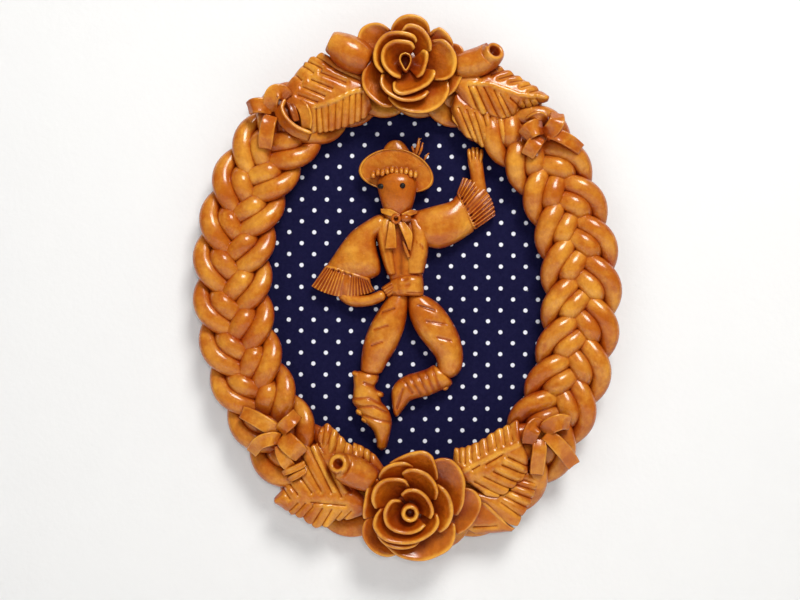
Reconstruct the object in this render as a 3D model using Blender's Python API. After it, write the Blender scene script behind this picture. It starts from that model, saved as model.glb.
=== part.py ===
"""A hung oval plaque of baked bread dough: a braided frame with roses, leaves and bows round a dancer.

The script works in millimetres and makes metres when a mesh is stored. A working point is (x, z, h):
x to the right, z up, and h the height over the face of the cloth, towards the viewer. The plaque's
back lies in the plane y = 0, its front faces -Y, and the origin is the middle of the back.
"""

import math
from collections import namedtuple

import bmesh
import bpy
import numpy as np
from mathutils.bvhtree import BVHTree

MM = 0.001

# Layers from the wall forwards.
BOARD_THICKNESS = 3.0
CLOTH_THICKNESS = 0.8
GAP = 0.3
CLOTH_BACK = BOARD_THICKNESS + GAP
CLOTH_FACE = CLOTH_BACK + CLOTH_THICKNESS
SEAT = 0.55

# The middle line of the braid is an egg: two half ellipses that share their width, leaning a little.
EGG_WIDTH = 85.6
EGG_TOP = 104.3
EGG_BOTTOM = 110.8
EGG_LEAN = 0.077
BOARD_MARGIN = 12.5
CLOTH_MARGIN = 8.5

# The braid: three strands of two ropes each.
BULGES = 31
FIRST_BULGE = 8.9
BULGE_LAG = 3.9
BRAID_SWING = 11.0
BRAID_RISE = 3.9
BRAID_MIDDLE = 8.3
ROPE_WIDTH = 8.7
ROPE_HEIGHT = 7.8
ROPE_SPACING = 8.3
PRESSED_HEIGHT = 0.55
TOP_PRESS = (60.0, 116.0)
BOTTOM_PRESS = (240.0, 297.0)
PRESS_FADE = 9.0

Petal = namedtuple("Petal", "bearing spread reach rim")
Leaf = namedtuple("Leaf", "base tip left right lift droop teeth sweep")
Ribbon = namedtuple("Ribbon", "points width stand")

# A petal's bearing and half spread in degrees, its reach from the heart, and the height of its rim.
TOP_ROSE_HEART = (-1.0, 107.4)
TOP_ROSE_PETALS = (
    Petal(150, 92, 10.3, 27.5),
    Petal(0, 36, 12.0, 27.0),
    Petal(-70, 50, 14.8, 26.5),
    Petal(135, 68, 15.3, 26.0),
    Petal(252, 44, 18.0, 24.5),
    Petal(62, 38, 18.2, 25.0),
    Petal(8, 32, 24.3, 22.5),
    Petal(-52, 34, 26.8, 20.0),
    Petal(262, 24, 24.0, 19.0),
    Petal(213, 40, 23.4, 19.5),
    Petal(148, 33, 25.2, 18.5),
    Petal(84, 33, 24.4, 19.5),
    Petal(33, 24, 25.0, 19.0),
    Petal(-8, 36, 30.3, 17.0),
)
BOTTOM_ROSE_HEART = (1.6, -107.9)
BOTTOM_ROSE_PETALS = (
    Petal(182, 62, 12.4, 27.0),
    Petal(42, 60, 11.2, 27.0),
    Petal(212, 50, 17.6, 25.5),
    Petal(-45, 50, 15.0, 26.0),
    Petal(142, 40, 20.4, 24.0),
    Petal(65, 38, 21.0, 24.0),
    Petal(14, 32, 20.8, 23.0),
    Petal(110, 26, 25.0, 20.5),
    Petal(86, 30, 28.8, 18.5),
    Petal(32, 40, 29.8, 19.0),
    Petal(-3, 29, 34.0, 16.5),
    Petal(-42, 37, 25.0, 20.0),
    Petal(247, 27, 21.5, 20.5),
    Petal(170, 26, 23.2, 19.0),
    Petal(225, 44, 26.2, 18.0),
)
PETAL_THICKNESS = 1.7
ROSE_FOOT = 11.4
CORE_RADIUS = 3.2
CORE_HOLE = 1.4

LEAVES = {
    "top_left_leaf": Leaf((-15.0, 96.5), (-67.0, 86.0), 16.0, 23.0, 15.0, 4.0, 7, 0.35),
    "top_right_upper_leaf": Leaf((27.5, 101.5), (69.0, 91.5), 10.0, 16.0, 16.0, 3.5, 6, 0.3),
    "top_right_lower_leaf": Leaf((22.0, 98.0), (57.5, 74.5), 8.0, 15.5, 12.6, 3.6, 6, 0.3),
    "bottom_left_leaf": Leaf((-24.0, -108.5), (-63.8, -104.0), 10.5, 21.0, 15.0, 3.5, 6, 0.35),
    "bottom_left_small_leaf": Leaf((-25.0, -86.5), (-46.0, -72.5), 5.0, 8.5, 13.0, 1.5, 3, 0.15),
    "bottom_right_upper_leaf": Leaf((24.0, -93.0), (63.0, -71.5), 12.0, 14.5, 15.5, 3.5, 6, 0.3),
    "bottom_right_lower_leaf": Leaf((33.0, -99.0), (67.0, -98.0), 7.0, 18.0, 12.6, 3.5, 6, 0.3),
}
LEAF_THICKNESS = 2.6
LEAF_TOOTH = 0.045
LEAF_RIB = 0.35
LEAF_MIDRIB = 1.0

RIBBON_THICKNESS = 1.9
BOWS = {
    "top_left_bow": (
        Ribbon([(-62.5, 82.5, 16), (-66.5, 84.5, 21.5), (-72.5, 85.6, 22), (-76.8, 86, 18.5)], 7.6, 0),
        Ribbon([(-61.5, 83, 16), (-62, 87, 21.5), (-62, 92, 22.5), (-61.5, 95.4, 18)], 7.8, 0),
        Ribbon([(-52, 90, 19.5), (-56, 92, 20), (-59.8, 88.5, 20), (-59, 83.5, 20), (-53.7, 78.6, 20)], 7.5, 80),
        Ribbon([(-58.6, 82.8, 20), (-53.7, 78.6, 20), (-46.2, 74.8, 18.5)], 7.5, 72),
        Ribbon([(-52.5, 90, 19.5), (-51.6, 86, 19.8), (-50, 80.5, 19.2), (-46.5, 76, 18)], 6.5, 100),
        Ribbon([(-65, 82, 18), (-66.8, 79, 20), (-68.2, 72, 19.4), (-68.6, 66, 16.6)], 7.8, 0),
    ),
    "top_right_bow": (
        Ribbon([(66, 74.5, 16), (62.5, 76, 21), (58.5, 76.5, 21.5), (55.3, 75.5, 17.5)], 8.8, 0),
        Ribbon([(67.5, 74, 16), (70, 78, 21), (72, 82.5, 21.5), (73, 86, 17.5)], 7.6, 0),
        Ribbon([(68, 74, 18), (74, 72, 20), (80, 69, 19), (84.8, 66.2, 15.5)], 7.2, 0),
        Ribbon([(65, 73, 17.5), (63, 70.5, 19.4), (60.5, 67, 19), (58, 63.5, 16.6)], 7.6, 0),
    ),
    "bottom_left_bow": (
        Ribbon([(-62, -69, 17), (-67, -64.5, 19.2), (-74, -62, 18.6), (-80, -60.5, 15.5)], 7.0, 0),
        Ribbon([(-62, -71.5, 16.5), (-65, -69.5, 21.8), (-70, -69.2, 22.2), (-73.8, -70.2, 17.5)], 8.0, 0),
        Ribbon([(-60.8, -71, 16.5), (-58.5, -67.8, 21.5), (-55, -64.5, 22), (-51.8, -61.8, 18)], 7.4, 0),
        Ribbon([(-60, -72.5, 17), (-56.5, -74.5, 21), (-52.5, -78, 21.5), (-50, -80.5, 18.5)], 10.0, 0),
        Ribbon([(-61.5, -74, 16.5), (-66, -75.5, 20.5), (-72, -80, 20), (-76, -84, 16)], 6.8, 0),
        Ribbon([(-60, -76, 17.5), (-58.6, -81.5, 20), (-56.8, -86, 18.4)], 7.0, 0),
        Ribbon([(-57.5, -89.5, 18), (-53.5, -87.8, 20), (-49, -85.6, 18.6)], 4.4, 0),
    ),
    "bottom_right_bow": (
        Ribbon([(66, -71, 16.5), (68, -66.5, 21.5), (72, -63, 22.5), (79, -63.8, 18)], 7.8, 0),
        Ribbon([(65, -68.5, 17), (62, -66.5, 21.5), (60, -70, 22.5), (58.8, -76, 17)], 8.2, 0),
        Ribbon([(66.5, -70, 18), (70.5, -73, 20), (76, -79.5, 19), (81, -86.5, 15.5)], 8.0, 0),
        Ribbon([(64, -73, 18), (63.8, -78, 19.8), (63.2, -84, 19), (62.6, -89.5, 17)], 7.8, 0),
    ),
}

# A sheet of dough is this much thinner along its edge.
RIM_SHARE = 0.35

# Triangles left on each finished piece.
BRAID_FACES = 2600
ROSE_FACES = 700
BUD_FACES = 110
LEAF_FACES = 240
LEAF_GRAIN = 0.4
BOW_FACES = 220
FIGURE_FACES = 2000
EYE_FACES = 60

# Pieces are cut at this many times their last faces, by cutters that are swollen copies of their neighbours
# with their own grain and share of the faces; a sound cut keeps at least this share of the volume.
ROUGH_FACES = 2.5
SWELL = 0.75
LAST_SWELL = 0.25
CUTTER_GRAIN = 0.7
CUTTER_SHARE = 1.0
SOUND_SHARE = 0.3

# A skin that pinches is made again with a finer grain.
MOST_ATTEMPTS = 6
FINER = 0.95

DOUGH = ("baked_dough", (0.42, 0.13, 0.022, 1.0), 0.32)
COTTON = ("navy_cotton", (0.012, 0.011, 0.045, 1.0), 0.9)
FIBREBOARD = ("fibreboard", (0.16, 0.085, 0.04, 1.0), 0.8)
BLACK = ("black_bead", (0.008, 0.007, 0.007, 1.0), 0.25)


def clear_scene():
    """Remove every object that the file opened with."""
    for old in list(bpy.data.objects):
        bpy.data.objects.remove(old, do_unlink=True)


def dressed(look):
    """Return the material of a (name, colour, roughness) look, made once."""
    name, colour, roughness = look
    material = bpy.data.materials.get(name)
    if material is None:
        material = bpy.data.materials.new(name)
        material.use_nodes = True
        shader = material.node_tree.nodes["Principled BSDF"]
        shader.inputs["Base Color"].default_value = colour
        shader.inputs["Roughness"].default_value = roughness
        shader.inputs["Metallic"].default_value = 0.0
    return material


def egg(angle, margin=0.0):
    """Return points (n, 2) of the braid's middle line at these angles, moved outwards by a margin."""
    angle = np.asarray(angle, float)
    tall = np.where(np.sin(angle) > 0, EGG_TOP, EGG_BOTTOM)
    flat = np.stack([EGG_WIDTH * np.cos(angle), tall * np.sin(angle)], axis=-1)
    away = np.stack([tall * np.cos(angle), EGG_WIDTH * np.sin(angle)], axis=-1)
    flat = flat + margin * away / np.linalg.norm(away, axis=-1, keepdims=True)
    turn = np.array([[math.cos(EGG_LEAN), math.sin(EGG_LEAN)], [-math.sin(EGG_LEAN), math.cos(EGG_LEAN)]])
    return flat @ turn


def smooth(points, count):
    """Return count points of a soft curve through the given ones: cubic pieces with shared slopes."""
    points = np.asarray(points, float)
    steps = np.linalg.norm(np.diff(points, axis=0), axis=1)
    knots = np.concatenate([[0.0], np.cumsum(np.sqrt(steps))])
    slopes = np.gradient(points, knots, axis=0)
    where = np.linspace(0.0, knots[-1], count)
    piece = np.clip(np.searchsorted(knots, where, side="right") - 1, 0, len(knots) - 2)
    span = (knots[piece + 1] - knots[piece])[:, None]
    t = (where - knots[piece])[:, None] / span
    start = (2 * t**3 - 3 * t**2 + 1) * points[piece] + (t**3 - 2 * t**2 + t) * span * slopes[piece]
    end = (3 * t**2 - 2 * t**3) * points[piece + 1] + (t**3 - t**2) * span * slopes[piece + 1]
    return start + end


def unit(vectors):
    """Return the vectors at length one."""
    return vectors / np.maximum(np.linalg.norm(vectors, axis=-1, keepdims=True), 1e-9)


class Solid:
    """A list of closed surfaces that will be baked into one piece."""

    def __init__(self):
        self.points = []
        self.faces = []
        self.total = 0

    def add(self, points, faces):
        """Take one closed surface, and turn its faces outwards."""
        corners = points[faces]
        volume = np.einsum("ij,ij->", corners[:, 0], np.cross(corners[:, 1], corners[:, 2]))
        volume += np.einsum("ij,ij->", corners[:, 0], np.cross(corners[:, 2], corners[:, 3]))
        self.points.append(points)
        self.faces.append((faces if volume > 0 else faces[:, ::-1]) + self.total)
        self.total += len(points)

    def pillow(self, middle, half):
        """Add a sheet (rows, columns, 3) with this half thickness, thinner along its edge."""
        rows, columns = middle.shape[:2]
        down = np.gradient(middle, axis=0)
        across = np.gradient(middle, axis=1)
        normal = unit(np.cross(down, across))
        thick = np.full((rows, columns, 1), RIM_SHARE * half)
        thick[1:-1, 1:-1] = half
        upper = (middle + normal * thick).reshape(-1, 3)
        lower = (middle - normal * thick).reshape(-1, 3)
        index = np.arange(rows * columns).reshape(rows, columns)
        rim = np.concatenate([index[:-1, 0], index[-1, :-1], index[:0:-1, -1], index[0, ::-1]])
        start, end = rim[:-1], rim[1:]
        under = rows * columns
        band = np.stack([end, start, start + under, end + under], axis=1)
        quads = [grid_faces(index), grid_faces(index + under)[:, ::-1], band]
        self.add(np.concatenate([upper, lower]), np.concatenate(quads))

    def sweep(self, path, half_width, half_height, sides=10, square=2.0, stand=0.0, loop=False):
        """Carry a rounded section along a path (n, 3); stand turns the section, in degrees."""
        path = np.asarray(path, float)
        count = len(path)
        half_width = np.broadcast_to(half_width, count).astype(float)
        half_height = np.broadcast_to(half_height, count).astype(float)
        if loop:
            along = unit(np.roll(path, -1, axis=0) - np.roll(path, 1, axis=0))
        else:
            along = unit(np.gradient(path, axis=0))
        side = unit(np.cross(along, (0.0, 0.0, 1.0)))
        rise = np.cross(side, along)
        turn = math.radians(stand)
        side, rise = side * math.cos(turn) + rise * math.sin(turn), rise * math.cos(turn) - side * math.sin(turn)
        angle = np.linspace(0.0, 2 * math.pi, sides, endpoint=False)
        wide = np.sign(np.cos(angle)) * np.abs(np.cos(angle)) ** (2.0 / square)
        high = np.sign(np.sin(angle)) * np.abs(np.sin(angle)) ** (2.0 / square)
        rings = path[:, None] + side[:, None] * (half_width[:, None] * wide)[..., None]
        rings = rings + rise[:, None] * (half_height[:, None] * high)[..., None]
        index = np.arange(count * sides).reshape(count, sides)
        index = np.concatenate([index, index[:, :1]], axis=1)
        if loop:
            index = np.concatenate([index, index[:1]], axis=0)
            self.add(rings.reshape(-1, 3), grid_faces(index))
            return
        ends = np.stack([path[0], path[-1]])
        points = np.concatenate([rings.reshape(-1, 3), ends])
        first, last = count * sides, count * sides + 1
        fans = [fan_faces(index[0], first, True), fan_faces(index[-1], last, False)]
        self.add(points, np.concatenate([grid_faces(index)] + fans))

    def limb(self, points, widths, heights, rings=14, sides=12, square=2.0):
        """Add a soft limb through a few points (x, z, h), with half widths and heights, round at its ends."""
        points = np.asarray(points, float)
        table = np.column_stack([points, widths, heights])
        curve = smooth(table, rings)
        length = np.linalg.norm(np.diff(curve[:, :3], axis=0), axis=1).sum()
        reach = min(0.45, 0.8 * max(curve[0, 3], curve[-1, 3]) / length)
        along = np.linspace(0.0, 1.0, rings)
        near = np.minimum(along, 1.0 - along)
        round_off = np.sqrt(np.clip(1.0 - (1.0 - np.clip(near / reach, 0.0, 1.0)) ** 2, 0.02, 1.0))
        self.sweep(curve[:, :3], curve[:, 3] * round_off, curve[:, 4] * round_off, sides, square)

    def turned(self, foot, axis, profile, sides=14):
        """Turn a closed profile of (radius, distance) pairs about an axis from the foot."""
        axis = unit(np.asarray(axis, float))
        side = unit(np.cross(axis, (0.13, 0.21, 0.97)))
        rise = np.cross(side, axis)
        profile = np.asarray(profile, float)
        angle = np.linspace(0.0, 2 * math.pi, sides, endpoint=False)
        spoke = side * np.cos(angle)[:, None] + rise * np.sin(angle)[:, None]
        points = np.asarray(foot, float) + profile[:, None, 1:2] * axis + profile[:, None, 0:1] * spoke
        index = np.arange(len(profile) * sides).reshape(len(profile), sides)
        index = np.concatenate([index, index[:, :1]], axis=1)
        self.add(points.reshape(-1, 3), grid_faces(index))

    def seated(self, height):
        """Press everything that lies below this height up to it."""
        for points in self.points:
            points[:, 2] = np.maximum(points[:, 2], height)

    def mesh(self, name):
        """Return the surfaces as one mesh, in metres and in the plaque's frame."""
        points = np.concatenate(self.points)
        world = np.stack([points[:, 0], -(CLOTH_FACE + points[:, 2]), points[:, 1]], axis=1) * MM
        mesh = bpy.data.meshes.new(name)
        faces = [list(dict.fromkeys(face)) for face in np.concatenate(self.faces).tolist()]
        mesh.from_pydata(world.tolist(), [], faces)
        mesh.update()
        return mesh


def grid_faces(index):
    """Return the quads between neighbouring rows and columns of a grid of point numbers."""
    corners = [index[:-1, :-1], index[1:, :-1], index[1:, 1:], index[:-1, 1:]]
    return np.stack([corner.ravel() for corner in corners], axis=1)


def fan_faces(ring, pole, first):
    """Return triangles, each with its pole twice, between a ring that ends where it starts and its pole."""
    start, end = (ring[:-1], ring[1:]) if first else (ring[1:], ring[:-1])
    poles = np.full(len(start), pole)
    return np.stack([poles, start, end, poles], axis=1)


def evaluated(piece):
    """Return the piece's mesh with its modifiers taken in."""
    graph = bpy.context.evaluated_depsgraph_get()
    return bpy.data.meshes.new_from_object(piece.evaluated_get(graph))


def settle(piece):
    """Make the piece's modifiers part of its mesh."""
    mesh = evaluated(piece)
    piece.modifiers.clear()
    piece.data = mesh
    mesh.name = piece.name


def triangle_count(mesh):
    """Return how many triangles a mesh has."""
    mesh.calc_loop_triangles()
    return len(mesh.loop_triangles)


def keep_largest(piece):
    """Delete all but the body of the piece with the most faces."""
    form = bmesh.new()
    form.from_mesh(piece.data)
    bmesh.ops.triangulate(form, faces=form.faces)
    left = set(form.faces)
    bodies = []
    while left:
        body = set()
        reached = [left.pop()]
        while reached:
            face = reached.pop()
            body.add(face)
            near = [other for edge in face.edges for other in edge.link_faces if other in left]
            left.difference_update(near)
            reached.extend(set(near))
        bodies.append(body)
    bodies.sort(key=len)
    bmesh.ops.delete(form, geom=[face for body in bodies[:-1] for face in body], context="FACES")
    form.to_mesh(piece.data)
    form.free()


def add_piece(name, mesh, look):
    """Put a mesh in the scene as a named piece with its material, shaded smooth."""
    piece = bpy.data.objects.new(name, mesh)
    bpy.context.scene.collection.objects.link(piece)
    mesh.materials.clear()
    mesh.materials.append(dressed(look))
    mesh.shade_smooth()
    return piece


def baked(name, solid, grain, faces, look=DOUGH, over=()):
    """Fuse a solid's surfaces into one skin and finish it, finer while it pinches; return the piece and its cutter."""
    piece = add_piece(name, solid.mesh(name), look)
    for attempt in range(MOST_ATTEMPTS):
        piece.data = solid.mesh(name)
        fuse(piece, grain * FINER**attempt)
        thin(piece, faces * ROUGH_FACES)
        keep_above_cloth(piece)
        cutter = finished(piece, faces, look, over)
        if not pinched(piece.data):
            break
    return piece, cutter


def finished(piece, faces, look, over):
    """Cut a piece clear of those that lie over it, thin it and dress it; return its cutter, made before the cuts."""
    own = swollen(piece, faces * CUTTER_SHARE)
    for _, cutter in over:
        cleared(piece, cutter)
    keep_largest(piece)
    thin(piece, faces)
    if pinched(piece.data):
        fuse(piece, LEAF_GRAIN)
        thin(piece, faces)
    keep_above_cloth(piece)
    for other, _ in over:
        if surface_of(piece).overlap(surface_of(other)):
            cutter = copy_of(other, LAST_SWELL)
            cleared(piece, cutter)
    keep_largest(piece)
    piece.data.materials.clear()
    piece.data.materials.append(dressed(look))
    piece.data.shade_smooth()
    return own


def surface_of(piece):
    """Return the piece's surface, ready for tests against another."""
    form = bmesh.new()
    form.from_mesh(piece.data)
    tree = BVHTree.FromBMesh(form)
    form.free()
    return tree


def pinched(mesh):
    """Tell whether any edge of a mesh has other than two faces."""
    form = bmesh.new()
    form.from_mesh(mesh)
    found = any(len(edge.link_faces) != 2 for edge in form.edges)
    form.free()
    return found


def keep_above_cloth(piece):
    """Press the piece's lowest points back to the gap over the cloth."""
    points = np.empty(len(piece.data.vertices) * 3, np.float32)
    piece.data.vertices.foreach_get("co", points)
    points = points.reshape(-1, 3)
    points[:, 1] = np.minimum(points[:, 1], -(CLOTH_FACE + GAP) * MM)
    piece.data.vertices.foreach_set("co", points.ravel())
    piece.data.update()


def reach_of(piece):
    """Return the lowest and highest corner of a piece."""
    points = np.empty(len(piece.data.vertices) * 3, np.float32)
    piece.data.vertices.foreach_get("co", points)
    points = points.reshape(-1, 3)
    return points.min(axis=0), points.max(axis=0)


def copy_of(piece, swell):
    """Return a hidden copy of the piece, larger by this much all round."""
    cutter = bpy.data.objects.new(piece.name + "_cutter", piece.data.copy())
    bpy.context.scene.collection.objects.link(cutter)
    cutter.hide_render = True
    cutter.display_type = "WIRE"
    displace = cutter.modifiers.new("swell", "DISPLACE")
    displace.strength = swell * MM
    displace.mid_level = 0.0
    settle(cutter)
    return cutter


def swollen(piece, faces):
    """Return a hidden larger copy of the piece as one clean skin, to clear what lies under it."""
    cutter = copy_of(piece, SWELL)
    fuse(cutter, CUTTER_GRAIN)
    thin(cutter, faces)
    return cutter


def fuse(piece, grain):
    """Make one skin of a piece's crossing surfaces."""
    remesh = piece.modifiers.new("fuse", "REMESH")
    remesh.mode = "VOXEL"
    remesh.voxel_size = grain * MM
    settle(piece)


def thin(piece, faces):
    """Leave the piece about this many triangles."""
    decimate = piece.modifiers.new("thin", "DECIMATE")
    decimate.ratio = min(1.0, faces / triangle_count(piece.data))
    settle(piece)


def cleared(piece, cutter):
    """Cut the cutter out of the piece where the two meet."""
    low, high = reach_of(piece)
    other_low, other_high = reach_of(cutter)
    if (low > other_high).any() or (other_low > high).any():
        return
    whole = volume_of(piece.data)
    cut = piece.modifiers.new("clear", "BOOLEAN")
    cut.operation = "DIFFERENCE"
    cut.object = cutter
    if not SOUND_SHARE * whole < volume_of(evaluated(piece)) <= whole:
        cut.solver = "MANIFOLD"
    settle(piece)


def volume_of(mesh):
    """Return the volume inside a mesh, in cubic metres."""
    form = bmesh.new()
    form.from_mesh(mesh)
    volume = form.calc_volume(signed=True)
    form.free()
    return volume


def braid_rope(side, count=930):
    """Return the middle line (n, 3) of one rope of the pair, three times round, with its height scale."""
    angle = np.linspace(0.0, 2 * math.pi, 4001)
    line = egg(angle)
    walked = np.concatenate([[0.0], np.cumsum(np.linalg.norm(np.diff(line, axis=0), axis=1))])
    lap = walked[-1]
    way = np.linspace(0.0, 3 * lap, count, endpoint=False)
    bearing = np.interp(way % lap, walked, angle)
    middle = egg(bearing)
    outward = egg(bearing, 1.0) - middle
    passed = (way - FIRST_BULGE + BULGE_LAG * (1 - np.cos(2 * math.pi * way / lap))) * BULGES / lap
    phase = 2 * math.pi * passed / 3 + math.pi / 2
    flat = middle + outward * (BRAID_SWING * np.sin(phase))[:, None]
    press = pressed(np.degrees(bearing))
    rise = (BRAID_MIDDLE - BRAID_RISE * np.sin(2 * phase)) * press
    path = np.column_stack([flat, rise])
    along = unit(np.roll(path, -1, axis=0) - np.roll(path, 1, axis=0))
    beside = unit(np.cross(along, (0.0, 0.0, 1.0)))
    return path + beside * side * ROPE_SPACING / 2, press


def pressed(degrees):
    """Return the braid's height scale at a bearing: 1 where it shows, less where flowers lie on it."""
    scale = np.ones_like(degrees)
    for start, end in (TOP_PRESS, BOTTOM_PRESS):
        depth = np.clip(np.minimum(degrees - start, end - degrees) / PRESS_FADE + 1.0, 0.0, 1.0)
        scale -= (1.0 - PRESSED_HEIGHT) * depth**2 * (3 - 2 * depth)
    return scale


def braid_solid():
    """Return the two ropes that wind three times round the frame."""
    solid = Solid()
    for side in (-1, 1):
        path, press = braid_rope(side)
        solid.sweep(path, ROPE_WIDTH / 2, ROPE_HEIGHT / 2 * press, sides=12, loop=True)
    solid.seated(SEAT)
    return solid


def add_petal(solid, heart, petal):
    """Add one cupped petal: it starts near the heart, rises outwards to its rim, and curls over a little."""
    u = np.linspace(-1.0, 1.0, 15)[:, None]
    v = np.linspace(0.0, 1.0, 9)[None, :]
    bearing = np.radians(petal.bearing + petal.spread * u)
    start = 0.5 * petal.reach
    start_height = ROSE_FOOT + 0.25 * (petal.rim - ROSE_FOOT)
    fall = 1.0 - 0.22 * np.abs(u) ** 3
    reach = start + (petal.reach * fall - start) * (1 - (1 - v) ** 1.4)
    height = start_height + (petal.rim - start_height) * fall * v**1.3
    middle = np.stack([heart[0] + reach * np.cos(bearing), heart[1] + reach * np.sin(bearing), height + 0 * u], -1)
    solid.pillow(middle, PETAL_THICKNESS / 2)


def rose_solid(heart, petals):
    """Return a rose: a solid heart, a rolled core with a hole, and its petals."""
    solid = Solid()
    heart_profile = [(0.01, 0.0), (12.0, 0.0), (17.0, 3.0), (14.0, 5.5), (8.5, 8.0), (4.0, 9.0), (0.01, 9.0)]
    solid.turned((heart[0], heart[1], ROSE_FOOT), (0, 0, 1), heart_profile, sides=20)
    hole = [(CORE_HOLE, 15.8), (CORE_HOLE, 12.0), (0.01, 12.0)]
    core = [(0.01, 6.0), (CORE_RADIUS * 1.3, 6.0), (CORE_RADIUS, 14.0), (CORE_RADIUS - 0.7, 16.0)] + hole
    solid.turned((heart[0], heart[1], ROSE_FOOT), (0, 0, 1), core, sides=14)
    for petal in petals:
        add_petal(solid, heart, petal)
    return solid


def bud_solid(foot, mouth, radius, hollow):
    """Return a bud between two points: a closed one comes to a point, a rolled one is open at its mouth."""
    solid = Solid()
    axis = np.subtract(mouth, foot)
    length = float(np.linalg.norm(axis))
    if hollow:
        shape = [(0.01, 0.0), (0.7, 0.02), (1.0, 0.3), (0.95, 0.7), (0.8, 0.95), (0.66, 1.0), (0.5, 0.95)]
        shape += [(0.42, 0.72), (0.01, 0.7)]
    else:
        shape = [(0.01, 0.0), (0.6, 0.03), (0.95, 0.25), (1.0, 0.45), (0.78, 0.7), (0.38, 0.9), (0.01, 1.0)]
    profile = [(radius * wide, length * far) for wide, far in shape]
    solid.turned(foot, axis, profile, sides=14)
    return solid


def leaf_solid(leaf):
    """Return a leaf: a domed blade with a toothed edge, a sunken midrib and a rib and a groove to each tooth."""
    u = np.linspace(0.0, 1.0, 2 * leaf.teeth + 1)[:, None]
    v = np.array([-1.0, -0.55, 0.0, 0.55, 1.0])[None, :]
    base, tip = np.array(leaf.base), np.array(leaf.tip)
    length = np.linalg.norm(tip - base)
    along = (tip - base) / length
    across = np.array([-along[1], along[0]])
    ridge = np.cos(math.pi * np.arange(2 * leaf.teeth + 1))[:, None]
    belly = np.sin(math.pi * u)
    outline = 0.12 + 0.88 * np.sin(math.pi * u**0.75) ** 0.62 + LEAF_TOOTH * ridge * belly
    half = np.where(v > 0, leaf.left, leaf.right)
    lean = leaf.sweep * np.abs(v) * half * (belly - 0.35)
    flat = base + (u * length + lean)[..., None] * along + (half * outline * v)[..., None] * across
    height = leaf.lift + 1.8 * belly - leaf.droop * v**2 - LEAF_MIDRIB * (v == 0) + LEAF_RIB * ridge * (v != 0)
    solid = Solid()
    solid.pillow(np.concatenate([flat, height[..., None]], axis=-1), LEAF_THICKNESS / 2)
    return solid


def bow_solid(ribbons):
    """Return a bow of flat strips, each carried along its own loop or tail."""
    solid = Solid()
    for ribbon in ribbons:
        path = smooth(ribbon.points, 16)
        solid.sweep(path, ribbon.width / 2, RIBBON_THICKNESS / 2, sides=12, square=5.0, stand=ribbon.stand)
    return solid


def figure_solid():
    """Return the dancer, built up from the cloth: hat, head, dress, arms and legs."""
    solid = Solid()
    add_hat_and_head(solid)
    add_torso(solid)
    add_arms(solid)
    add_legs(solid)
    solid.seated(SEAT)
    return solid


def add_hat_and_head(solid):
    """Add the brim behind the head, the crown above it, the curls and feathers, and the egg of a head."""
    angle = np.linspace(0.0, 2 * math.pi, 25)[:-1]
    rings = np.array([0.0, 0.5, 0.85, 1.0])
    lean = math.radians(-9)
    wide = 18.6 * rings[:, None] * np.cos(angle)
    tall = 10.6 * rings[:, None] * np.sin(angle)
    droop = 0.006 * wide**2
    x = -4.8 + wide * math.cos(lean) - (tall - droop) * math.sin(lean)
    z = 57.6 + wide * math.sin(lean) + (tall - droop) * math.cos(lean)
    h = 6.5 - 0.22 * tall + 0.9 * rings[:, None] * np.ones_like(angle)
    brim = np.stack([x, z, h], axis=-1)
    add_disc(solid, brim, 2.4)
    solid.limb([(-5.5, 62, 4.5), (-5.8, 68, 4.8), (-6.0, 73.6, 4.0)], [11, 9.5, 4.5], [4, 4, 3])
    solid.limb([(5.5, 66, 5), (6.6, 70, 5.2), (6.9, 73.5, 5)], [2.4, 2.2, 1.4], [1.2, 1.2, 0.8], rings=7, sides=6)
    solid.limb([(8.0, 63, 5.5), (9.6, 66.6, 5.5)], [1.6, 0.8], [1.0, 0.6], rings=5, sides=6)
    for curl in range(9):
        x = -15.5 + 2.35 * curl
        top = 58.6 - 0.05 * (x + 6) ** 2 * 0.4
        solid.limb([(x, top, 12.5), (x, top - 3.4, 13.2)], [1.2, 1.1], [1.3, 1.2], rings=6, sides=6)
    solid.limb([(-4.6, 57.5, 8), (-4.5, 51, 8.6), (-4.5, 43, 8.2), (-4.9, 36, 6.5)], [8.6, 10.3, 8.4, 6.4], [5.5, 6.2, 5.5, 4.4])


def add_disc(solid, rings, thickness):
    """Add a round plate from rings of points that grow from its middle."""
    count, sides = rings.shape[:2]
    rings = np.concatenate([rings, rings[:, :1]], axis=1)
    upper = rings.copy()
    lower = rings[::-1].copy()
    upper[:-1, :, 2] += thickness / 2
    lower[1:, :, 2] -= thickness / 2
    sheet = np.concatenate([upper, lower[1:]])[:, :-1]
    index = np.arange(sheet.shape[0] * sides).reshape(-1, sides)
    index = np.concatenate([index, index[:, :1]], axis=1)
    solid.add(sheet.reshape(-1, 3), grid_faces(index))


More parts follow.
